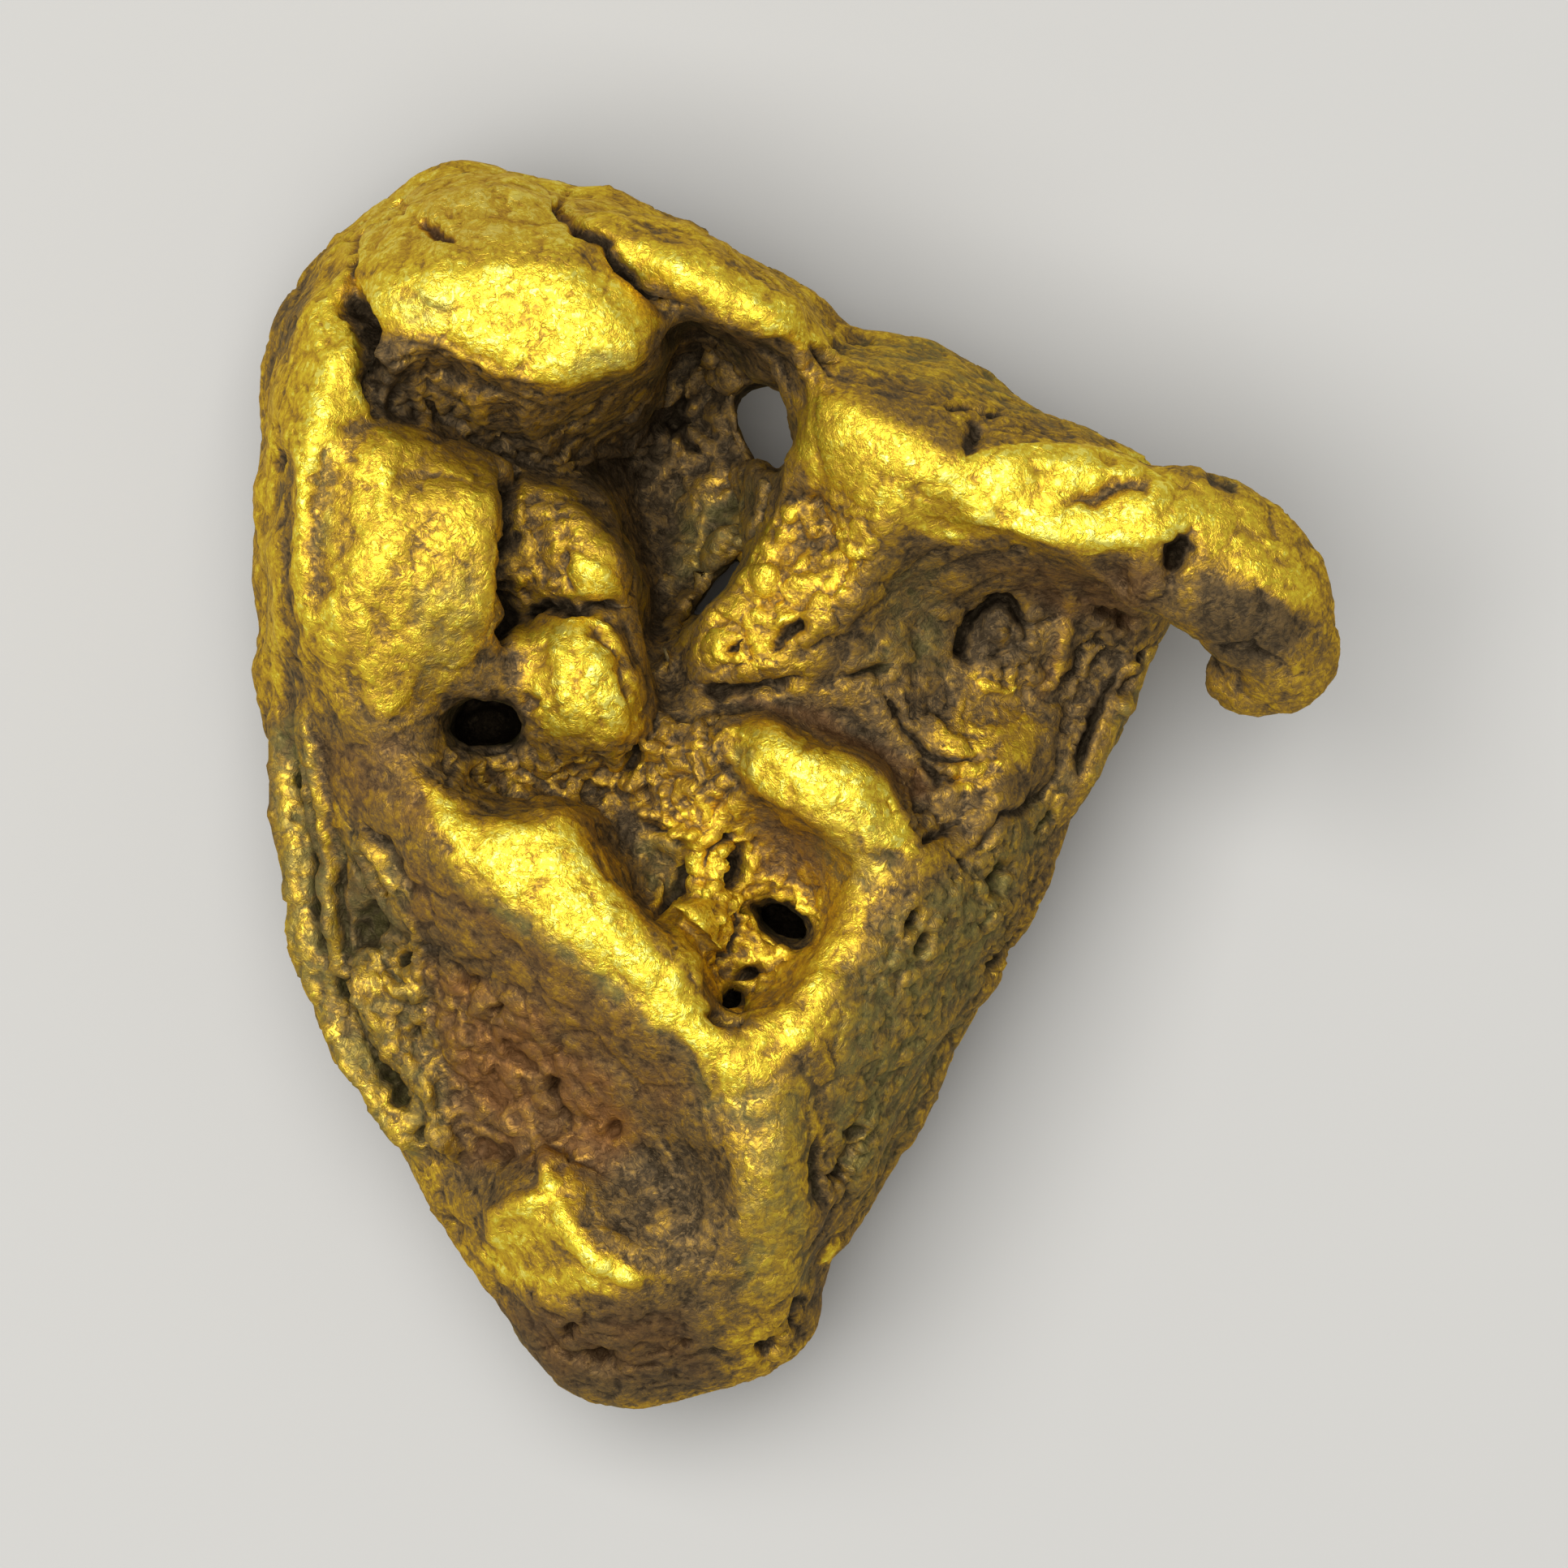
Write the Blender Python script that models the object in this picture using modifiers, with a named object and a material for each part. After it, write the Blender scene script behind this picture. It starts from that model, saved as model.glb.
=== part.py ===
"""A gold nugget, lying on its back: one natural piece of metal, so one solid.

It is a thick, roughly heart-shaped mass: a rounded crown and brow across the top, a broad rim and
lobe down the left, a forked ridge and its stem below, and on the right an arm that ends in a hook.
Between them lie a deep cavity with a slot and a slit through its floor, two plugs of metal, and a
crater behind a crescent. Thin folded leaves run down the lower left edge. The underside is a low
swell that rests on three worn flats.

+X is to the right, +Y is towards the crown and +Z is up, away from the rest plane. The origin is
the middle of the nugget's footprint on that plane. All places and sizes are millimetres in that
frame, and MM turns them into Blender's metres.
"""

import bmesh
import bpy
from math import atan2, radians, sin
from mathutils import Euler, Matrix, Vector
from mathutils.geometry import delaunay_2d_cdt

MM = 0.001

# Driving dimensions
TRIANGLES = 9400
VOXEL = 0.17
SOFTENING = 0.5
ROUGH_PASSES = 1
SOFT_PASSES = 2
FIRM_PASSES = 1
RIM_PASSES = 1
RIPPLE_SIZE = 1.7
RIPPLE_LAYERS = 1
RIPPLE_DEPTH = 0.35

# The collar is an upright block of the outline, whose top edge is the nugget's shoulder.
COLLAR_LOW = -1.5
COLLAR_HIGH = 5.0
COLLAR_EDGE = 1.0
SHOULDER_INSET = 0.3
RELIEF_ROOT = -1.0
RELIEF_TOP = 14.0

# The underside: rings as (share of the outline, height), wavy and raised under the arm.
UNDER_CENTRE = (-0.9, 0.9)
UNDER_RINGS = ((1.06, 5.6), (1.0, 3.9), (0.95, 2.7), (0.88, 1.9), (0.79, 1.35))
WAVES_ROUND = 7
WAVE_HEIGHT = 0.3
UNDER_DROP = -6.0
ARM_START = 3.5
ARM_LIFT = 0.35

# Cutters
HOLE_LOW = -1.0
HOLE_HIGH = 12.0
HOLE_EDGE = 0.05
GROUND_SIZE = 40.0

# Curves and spheres
LUMP_DETAIL = 4
ROLL_DETAIL = 4
CURVE_DETAIL = 8
CURVE_ORDER = 3
CAP_WELD = 0.001
LINE_WELD = 0.01

GOLD = (0.83, 0.60, 0.13, 1.0)
GOLD_ROUGHNESS = 0.35

# The outline seen from above, clockwise from the crown: (x, y, height of the shoulder).
OUTLINE = (
    (-5.95, 10.95, 5.8), (-4.65, 10.85, 5.8), (-3.25, 10.4, 5.8), (-1.65, 10, 5.8), (-0.45, 9.35, 5.8),
    (0.55, 8.65, 5.8), (1.15, 7.9, 5.6), (1.75, 8, 5.5), (3.35, 7.45, 5.6), (5.05, 6.6, 5.8),
    (6.55, 5.8, 6.2), (7.35, 4.95, 6.4), (7.25, 3.5, 5.4), (6.55, 2.35, 4.6), (5.9, 0.75, 4.4),
    (5.2, -0.6, 4.4), (4.7, -1.9, 4.4), (3.75, -3.65, 4.4), (2.75, -5.45, 4.4), (1.75, -7.1, 4.6),
    (0.7, -8.75, 4.8), (0.65, -9.7, 4.6), (0.2, -10.4, 4.6), (-0.85, -10.75, 4.6), (-2.85, -11, 4.6),
    (-3.95, -10.65, 4.6), (-4.75, -9.85, 4.6), (-5.35, -8.65, 4.6), (-6.35, -7.15, 4.4),
    (-7, -6.05, 4.2), (-7.95, -4.9, 4.2), (-8.4, -3.75, 4.2), (-8.6, -2.05, 4.2), (-8.9, 0.1, 4.4),
    (-9.3, 1.65, 4.8), (-9.45, 3.8, 5.6), (-9.35, 6.35, 5.8), (-9.05, 8.2, 5.8), (-8.35, 9.2, 5.8),
    (-7.5, 10.1, 5.8), (-6.65, 10.75, 5.8),
)

# Crests, edges and feet of slopes on the upper side, as (x, y, z): the skin is stretched over them.
LINES = {
    # crown
    "crown_rise": (
        (-7.3, 9.5, 7.8), (-6.5, 10.05, 8.1), (-5.65, 10.3, 8.2), (-4.5, 10.25, 8.2),
        (-3.95, 10.05, 8.1),
    ),
    "crown_back": (
        (-6.95, 9.25, 8.7), (-6.1, 9.55, 9.1), (-4.95, 9.7, 9.3), (-3.8, 9.45, 9.4), (-3.1, 9, 9.3),
    ),
    "crown_crest": (
        (-7.1, 8.6, 9.5), (-6, 8.8, 9.9), (-4.95, 8.85, 10.1), (-3.8, 8.65, 10.2), (-2.85, 8.25, 10),
    ),
    "crown_edge": (
        (-7.35, 8.1, 9.3), (-6.75, 7.85, 9.7), (-6, 7.65, 9.8), (-5.5, 7.35, 9.9), (-5, 7.15, 9.9),
        (-4.05, 6.9, 10), (-3.5, 6.9, 10), (-2.65, 7.15, 9.8), (-2.25, 7.7, 9.6), (-2.2, 8.15, 9.2),
    ),
    "crown_foot": (
        (-6.85, 6.5, 5.2), (-6.2, 6.5, 5.9), (-5.7, 6, 5.8), (-4.85, 5.75, 5.4), (-4.25, 5.5, 5),
        (-3.9, 5.35, 4.2), (-3.35, 5.8, 3.4), (-2.4, 6.4, 2.8), (-2.05, 7.1, 2.6), (-1.9, 7.95, 3),
    ),
    "crown_crack": (
        (-3.85, 10.1, 7.4), (-3.8, 9.8, 7.9), (-3.5, 9.55, 8.2), (-2.95, 9.15, 8.3), (-2.7, 8.8, 8.2),
        (-2.35, 8.5, 7.9), (-1.85, 8.3, 7),
    ),
    "left_crack": (
        (-6.7, 10.25, 7.2), (-7.2, 9.8, 7.2), (-7.55, 9.35, 7.3), (-7.55, 8.85, 7.4), (-7.6, 8.4, 7.4),
        (-7.4, 8.15, 7), (-7, 7.7, 5.6),
    ),
    # brow
    "brow_rise": ((-3.15, 9.9, 8.8), (-1.65, 9.5, 9), (-0.65, 8.95, 9), (0.25, 8.3, 8.5)),
    "brow_crest": (
        (-3.1, 9.5, 9.3), (-2.3, 9.1, 9.6), (-1.35, 8.85, 9.7), (-0.45, 8.45, 9.6), (0.3, 8, 9.2),
        (0.6, 7.75, 8.6),
    ),
    "brow_edge": ((-1.7, 8.45, 9.4), (-1.1, 8.1, 9.4), (-0.5, 7.7, 9.2), (0.15, 7.45, 8.7)),
    "brow_foot": ((-1.35, 8, 4), (-0.85, 7.75, 4), (-0.65, 7.35, 4)),
    # left rim and lobe
    "rim_rise": (
        (-7.8, 9.1, 7.4), (-8.4, 8.25, 7.8), (-8.85, 6.35, 7.8), (-8.95, 3.95, 7.2), (-8.8, 2.35, 6.6),
        (-8.6, 1.35, 6.2),
    ),
    "rim_crest": (
        (-7.9, 8.35, 8.6), (-7.85, 7.65, 9.2), (-8.1, 6.5, 9.5), (-8.3, 5.25, 9.5), (-8.35, 3.8, 9.4),
        (-8.25, 2.35, 9), (-8, 1.35, 8.3),
    ),
    "rim_edge": ((-7.25, 7.55, 9.2), (-7.15, 6.9, 9.2), (-7.25, 6.4, 8.9)),
    "rim_dip": ((-7.8, 5.8, 9.2), (-7.85, 4.65, 9.1), (-7.95, 3.65, 9.1)),
    "lobe_top": (
        (-7.4, 5.95, 8.8), (-6.9, 6.2, 9.2), (-6.35, 6.15, 9.2), (-6, 5.65, 9), (-5.25, 5.6, 8.9),
    ),
    "lobe_left": (
        (-7.05, 5.75, 9.8), (-7.15, 4.65, 9.9), (-7.45, 3.5, 9.8), (-7.35, 2.35, 9.4),
        (-7.15, 1.45, 8.9),
    ),
    "lobe_right": ((-5.8, 5.1, 9.8), (-5.65, 3.95, 9.7), (-5.8, 2.8, 9.4), (-6.3, 1.85, 8.9)),
    "lobe_edge": (
        (-5, 5.2, 9.5), (-4.9, 4.35, 9.6), (-4.95, 3.5, 9.5), (-5.15, 2.65, 9.2), (-5.65, 1.9, 8.7),
        (-6.1, 1.55, 8.3),
    ),
    "lobe_foot": ((-4.7, 5.25, 7), (-4.65, 4.35, 7.2), (-4.65, 3.45, 6.8), (-4.85, 2.75, 5.4)),
    "neck": ((-7.5, 0.85, 8.1), (-6.95, 0.6, 8.3), (-6.35, 0.85, 8.1)),
    # fork
    "fork_inner": (
        (-6.1, 0.25, 8.7), (-5.65, -0.25, 9.1), (-5.25, -0.65, 9.3), (-4.5, -0.65, 9.5),
        (-3.85, -0.55, 9.5), (-3.5, -0.8, 9.5), (-3.2, -1.3, 9.5), (-2.75, -1.95, 9.5),
        (-2.35, -2.5, 9.4), (-1.85, -2.95, 9.4), (-1.5, -3.6, 9.3), (-1.25, -4.15, 9.2),
    ),
    "fork_crest": (
        (-6.35, -0.15, 9), (-5.8, -0.85, 9.5), (-4.95, -1.25, 9.7), (-4.1, -1.6, 9.8),
        (-3.35, -2.25, 9.8), (-2.65, -2.95, 9.7), (-2, -3.6, 9.6), (-1.35, -4.4, 9.5),
        (-0.7, -4.75, 9.4),
    ),
    "fork_outer": (
        (-6.7, -0.6, 8.7), (-6.15, -1.25, 9.1), (-5.35, -1.9, 9.4), (-4.35, -2.65, 9.5),
        (-3.7, -3.2, 9.4), (-2.95, -3.75, 9.3), (-2.45, -4.3, 9.2), (-1.9, -4.75, 9.1), (-1.3, -5.15, 9),
    ),
    "fork_foot": (
        (-5.6, -0.05, 6.8), (-5.15, -0.35, 6.8), (-4.5, -0.35, 6.6), (-3.75, -0.25, 6.5),
        (-3.25, -0.6, 6.4), (-2.95, -1.2, 6.3), (-2.5, -1.85, 6.2), (-2, -2.4, 6), (-1.55, -2.8, 6.1),
        (-1.25, -3.45, 6), (-0.95, -3.9, 6.4),
    ),
    "stem_left": (
        (-0.85, -5.4, 9), (-0.85, -6.5, 8.7), (-0.85, -7.65, 8.2), (-0.8, -8.75, 7.4),
        (-0.75, -9.55, 6.4),
    ),
    "stem_right": (
        (-0.15, -5.4, 9), (0.05, -6.5, 8.7), (0.15, -7.65, 8), (0, -8.7, 7), (-0.15, -9.4, 6.2),
    ),
    "branch_inner": (
        (-0.6, -4.1, 8.9), (0.1, -3.75, 8.8), (0.45, -3.1, 8.6), (0.75, -2.7, 8.4), (1.15, -2.15, 8.2),
        (1.65, -1.55, 8.1),
    ),
    "branch_outer": (
        (-0.25, -4.9, 9.1), (0.5, -4.45, 8.9), (0.95, -3.65, 8.7), (1.3, -2.9, 8.5), (1.8, -2.2, 8.2),
        (2.25, -1.55, 8),
    ),
    "branch_foot": ((-0.6, -3.75, 6.2), (-0.1, -3.4, 6.6), (0.25, -2.95, 6.6), (0.65, -2.4, 6.8)),
    # face on the lower left
    "face_upper": (
        (-7.8, 0.1, 7.3), (-7.15, -0.95, 7.5), (-6.3, -2, 7.8), (-5.15, -3.05, 8), (-4, -4, 8.1),
        (-2.85, -4.95, 8.1), (-1.75, -5.75, 8.1),
    ),
    "face_middle": (
        (-6.1, -3.2, 6.9), (-5.25, -4.35, 6.9), (-4.1, -5.2, 6.9), (-2.95, -6.05, 7),
        (-1.85, -6.75, 7.1),
    ),
    "face_lower": (
        (-5.8, -5.05, 6.1), (-5.25, -6.05, 6), (-4.65, -6.7, 6.3), (-3.5, -6.2, 6.7), (-2.8, -6.9, 6.9),
    ),
    "bulge_edge": (
        (-5.15, -8.1, 6.3), (-5.1, -7.6, 6.9), (-4.65, -7.25, 7.3), (-4.1, -6.55, 7.3),
        (-3.9, -7.2, 7.7), (-3.7, -7.65, 7.8), (-3.3, -8.2, 7.9), (-2.5, -8.5, 7.8), (-1.75, -8.5, 7.5),
    ),
    "bulge_lower": (
        (-4.6, -8.9, 6.3), (-3.8, -8.85, 6.9), (-2.95, -9.15, 7.1), (-1.95, -9.35, 6.8),
        (-1.25, -9.65, 6.4),
    ),
    "bulge_foot": ((-3.8, -9.85, 5.7), (-2.65, -10.15, 5.7), (-1.5, -10.15, 5.6), (-0.6, -10, 5.4)),
    # leaves
    "leaf_bed": (
        (-8.45, 0.5, 5.2), (-8.1, -1.35, 5), (-7.85, -3.05, 4.8), (-7.5, -4.35, 4.8),
        (-6.75, -5.4, 4.9), (-6.15, -6.5, 5),
    ),
    "leaf_rise": ((-7.5, -1.35, 6.2), (-6.95, -2.75, 6), (-6.6, -4.35, 5.8)),
    # right face
    "right_upper": (
        (0.65, -6.05, 7.8), (1.35, -4.9, 7.8), (2.05, -3.75, 7.6), (2.65, -2.65, 7.5),
        (3.2, -1.35, 7.2), (3.85, -0.25, 6.9),
    ),
    "right_lower": ((1, -7.35, 6.2), (1.9, -5.7, 6.1), (2.9, -4, 6), (3.75, -2.4, 5.9), (4.4, -1, 5.7)),
    # crescent
    "crescent_outer": (
        (-0.95, 0.9, 7.9), (-0.4, 1.05, 8.3), (0.25, 0.85, 8.5), (1.05, 0.55, 8.5), (1.7, 0.1, 8.4),
        (2.1, -0.65, 8.2), (2.4, -1.1, 7.9),
    ),
    "crescent_crest": (
        (-0.75, 0.45, 8.4), (-0.1, 0.6, 8.9), (0.65, 0.3, 8.9), (1.25, -0.15, 8.8), (1.75, -0.85, 8.4),
    ),
    "crescent_inner": ((-0.6, -0.2, 8.3), (0, -0.45, 8.5), (0.8, -0.8, 8.6), (1.35, -1.2, 8.4)),
    "crater_far": ((-0.6, -0.55, 6.6), (0, -0.9, 6.6), (0.65, -1.25, 6.8), (0.9, -1.7, 6.9)),
    "crater_slope": ((-0.5, -1.35, 6.6), (0.05, -1.75, 6.3), (0.55, -2.05, 6.6)),
    "crater_floor": ((-2.6, -0.75, 6.4), (-2.3, -1.4, 6.2), (-1.95, -1.85, 6)),
    "crater_bump": ((-1.75, -2.15, 7), (-1.4, -2, 7.4), (-1.1, -2.35, 7.4), (-1.45, -2.65, 7)),
    "crater_ledge": ((-1.65, -0.9, 7.3), (-1.15, -0.9, 7.4), (-1.05, -1.35, 7)),
    "crater_low": ((-0.85, -2.05, 6.3), (-0.65, -2.8, 6.4), (-0.75, -3.25, 6.2)),
    "channel": (
        (-1.15, 1.3, 6.3), (-0.4, 1.4, 6.1), (0.5, 1.15, 6.1), (1.05, 0.85, 6.1), (1.65, 0.5, 6.1),
        (2.1, 0.15, 6.2), (2.55, -0.35, 6.5),
    ),
    "channel_far": (
        (-1.35, 1.75, 6.8), (-0.45, 1.8, 7.1), (0.65, 1.55, 7.1), (1.35, 1.25, 7), (2.05, 0.8, 6.9),
        (2.85, 0.1, 6.9),
    ),
    "rough_shelf": (
        (-2.35, 0, 6.6), (-2.05, 0.75, 7.3), (-1.5, 0.85, 7.6), (-1.1, 0.45, 7.7), (-1, -0.15, 7.5),
        (-1.65, -0.4, 7.1), (-2.2, -0.35, 6.6),
    ),
    # plugs in the hollow
    "upper_plug": (
        (-4.4, 4.9, 7.6), (-3.95, 4.65, 8), (-3.5, 4.2, 8.4), (-3.15, 3.7, 8.6), (-3.2, 3.4, 8.4),
        (-3.8, 3.45, 8.2), (-4.3, 3.5, 7.7),
    ),
    "upper_plug_edge": (
        (-4.15, 5.3, 7.3), (-3.6, 5, 7.9), (-3.15, 4.4, 8.3), (-2.85, 3.75, 8.4), (-2.8, 3.25, 8.2),
    ),
    "lower_plug": (
        (-4.35, 2.35, 8.2), (-3.65, 2.6, 8.6), (-3.1, 2.1, 8.8), (-2.9, 1.35, 8.6), (-3.8, 1.2, 8.6),
        (-4.1, 1.65, 8.5),
    ),
    "lower_plug_edge": (
        (-4.7, 2.35, 7.9), (-4.3, 2.75, 8.1), (-3.6, 2.9, 8.3), (-2.95, 2.55, 8.4), (-2.6, 1.95, 8.5),
        (-2.5, 1.25, 8.4), (-2.55, 0.75, 8.1), (-3.3, 0.6, 8.1), (-4.1, 0.75, 8.1), (-4.35, 1.25, 8.1),
    ),
    "plug_gap": ((-4.4, 3.05, 6.2), (-4, 3.15, 6.8), (-3.5, 3.15, 7.1), (-2.9, 2.9, 7)),
    "shelf": ((-4.95, 0.25, 6.3), (-3.8, 0.15, 6.1), (-2.95, 0.1, 5.9)),
    # cavity floor
    "cavity_floor": (
        (-1.35, 7.35, 2.8), (-1.65, 6.35, 2.7), (-1.75, 5.25, 2.8), (-1.85, 4.1, 3), (-2.15, 3, 3.4),
    ),
    "cavity_left": ((-2.75, 5.15, 2.8), (-2.5, 4.3, 3), (-2.35, 3.5, 3.4), (-2.35, 2.85, 3.8)),
    "cavity_right": (
        (-0.9, 7.25, 3.4), (-1, 6.5, 3.2), (-0.7, 5.65, 3.4), (-0.7, 4.65, 4), (-1.15, 3.75, 4.2),
    ),
    "gully": ((-2.2, 2.2, 5), (-2.2, 1.5, 5.6), (-2.35, 0.85, 5.8)),
    # arm
    "flank_edge": (
        (0.3, 6.95, 8.1), (0.35, 6.25, 8.2), (0.15, 5.55, 8), (-0.1, 5.15, 7.9), (-0.15, 4.5, 7.7),
        (-0.55, 3.75, 7.5), (-1.1, 3, 7.2), (-1.55, 2.4, 7),
    ),
    "flank_mid": (
        (0.7, 6.25, 8.9), (1.15, 5.6, 9.1), (1.75, 4.85, 9.2), (1.7, 4.25, 8.9), (1.3, 3.4, 8.4),
        (0.55, 2.85, 8), (-0.25, 2.2, 7.7), (-1, 2.1, 7.3),
    ),
    "flank_dimple": ((0.5, 4.65, 7.8), (0.7, 4.25, 7.7)),
    "arm_rise": ((1.2, 7.4, 7.2), (2.2, 7.2, 7.3), (3.65, 6.6, 7.4), (5.05, 6, 7.6), (6.55, 5.35, 7.8)),
    "arm_back": ((0.75, 7.1, 8.4), (1.75, 6.85, 8.6), (2.9, 6.5, 8.6), (3.85, 6.15, 8.9)),
    "arm_crest": (
        (0.75, 6.65, 9.1), (1.35, 6.6, 9.5), (2.05, 6.2, 9.7), (2.9, 5.4, 9.7), (3.35, 4.65, 9.6),
        (4.75, 4.25, 9.6), (5.9, 4.15, 9.6), (6.8, 4.35, 9.4),
    ),
    "arm_upper": (
        (3.25, 5.5, 9.6), (3.9, 5.8, 9.6), (4.75, 5.75, 9.5), (5.65, 5.55, 9.5), (6.65, 5.05, 9.4),
    ),
    "arm_dip": ((4.65, 5.05, 9.2), (5.35, 4.95, 9.1), (6.05, 4.75, 9.2)),
    "arm_under": (
        (2.05, 3.95, 7.9), (2.75, 3.95, 7.9), (3.75, 4.05, 8), (5.1, 3.75, 7.9), (5.9, 3.65, 7.8),
        (6.7, 3.8, 7.4),
    ),
    "face_hollow": ((1.85, 2.95, 7.1), (3.05, 3.25, 6.4), (4.35, 3.15, 6), (5.5, 3, 5.6), (6.35, 3, 5.4)),
    "face_bump": ((3.7, 2.35, 6.2), (4.05, 2.25, 6.1)),
    "face_hollow_low": (
        (1.65, 1.95, 7), (2.65, 1.65, 6.3), (3.75, 1.5, 5.8), (4.75, 1.65, 5.3), (5.5, 1.8, 4.9),
    ),
    "face_patch": ((3.2, 0.35, 6.8), (3.9, 0.85, 6.4), (4.65, 0.95, 5.7)),
}

# The same for the underside. Heights below zero are worn off flat at the rest plane.
UNDER_LINES = {
    "crown_keel": ((-6.9, 5.4, 0.7), (-5.6, 6.8, -0.3), (-3.9, 7.3, -0.3), (-2.2, 6.9, 0.8)),
    "left_keel": ((-7.1, 3, 1.1), (-6.8, 0.8, 0.5), (-6, -1.2, 0.8)),
    "arm_keel": ((0.9, 4.9, 1), (2.2, 4.5, -0.3), (3.6, 3.8, -0.3), (4.6, 2.9, 1)),
    "foot_keel": ((-3.2, -4.4, 1), (-2.6, -5.8, -0.3), (-2, -7.2, -0.3), (-1.6, -8.3, 0.8)),
    "right_keel": ((2.6, 1, 1.2), (2.2, -0.9, 0.6), (1.2, -2.8, 0.9), (0.2, -4.6, 1.3)),
    "middle_valley": (
        (-4.6, 4.2, 1.2), (-3.4, 2.6, 1.5), (-3, 0.6, 1.9), (-3.4, -1.6, 1.6), (-4.4, -3.2, 1.4),
    ),
    "slot_valley": (
        (-0.6, 4.4, 1.1), (-0.2, 2.6, 1.4), (-0.8, 0.4, 1.5), (-0.9, -2, 1.3), (-0.8, -4, 1.5),
    ),
}

# Rounded masses: (name, centre, radii, turn in degrees).
SWELLS = (
    ("crown_swell", (-6.4, 5.6, 3.9), (2.7, 3.3, 1.5), 0),
    ("foot_swell", (-2.2, -8.2, 3.5), (2.25, 2.3, 1.7), 0),
    ("arm_swell", (2.6, 3.6, 4.4), (3.2, 2.9, 1.4), -28),
)
LOBES = (
    ("hook_tip", (8.1, 1.75, 6), (0.75, 0.55, 0.7), -10),
)

# Rolls and leaf edges that stand on the skin: (x, y, z, radius) along each.
ROLLS = {
    "hook": (
        (6.2, 4.45, 7.9, 1.3), (7.2, 4.1, 7.8, 1.35), (8.05, 3.6, 7.4, 1.3), (8.6, 2.85, 6.9, 1.05),
        (8.65, 2.1, 6.4, 0.95), (8.05, 1.65, 6.1, 0.55),
    ),
    "outer_leaf": (
        (-9.05, 1.25, 4.9, 0.3), (-8.7, -0.5, 5, 0.32), (-8.45, -2.35, 4.9, 0.32),
        (-8.15, -3.75, 4.8, 0.32), (-7.45, -5.05, 4.8, 0.3), (-6.6, -6.4, 4.8, 0.3),
    ),
    "thin_leaf": (
        (-8.45, 1.4, 6.4, 0.3), (-8.2, 0.3, 6.2, 0.28), (-8, -0.8, 5.9, 0.26),
        (-7.85, -1.75, 5.7, 0.26), (-7.75, -2.45, 5.5, 0.26), (-7.8, -3.35, 5.2, 0.24),
    ),
    "second_leaf": (
        (-7.35, -0.95, 7.2, 0.25), (-6.95, -1.65, 7, 0.25), (-6.6, -2.3, 6.8, 0.25),
        (-6.35, -2.9, 6.6, 0.25), (-6.35, -3.5, 6.4, 0.25), (-6.8, -3.6, 6.2, 0.22),
        (-7.3, -3.2, 5.9, 0.24), (-7.3, -3.7, 5.8, 0.24), (-7.1, -4.25, 5.9, 0.25),
        (-6.75, -4.9, 6, 0.26), (-6.25, -5.4, 6, 0.26), (-6.1, -6.05, 5.9, 0.26),
        (-5.85, -6.65, 5.7, 0.26),
    ),
    "strip": (
        (6.25, 2.2, 4.9, 0.2), (5.65, 1.25, 5, 0.24), (5.15, 0.25, 5, 0.24), (4.7, -0.75, 4.9, 0.2),
    ),
}

# Openings right through the cavity floor, seen from above.
SLOT = (
    (-0.9, 6.85), (-0.65, 7.15), (-0.15, 7.2), (0.15, 7.1), (0.1, 6.65), (0.15, 6.4), (0.35, 6.2),
    (0.3, 5.8), (-0.05, 5.35), (-0.3, 5.35), (-0.6, 5.9), (-0.85, 6.45),
)
SLIT = (
    (-0.5, 4.35), (-0.6, 3.85), (-1.05, 3.2), (-1.65, 2.55), (-2.1, 2.45), (-1.75, 3.1), (-1.25, 3.75),
    (-0.8, 4.25),
)

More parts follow.
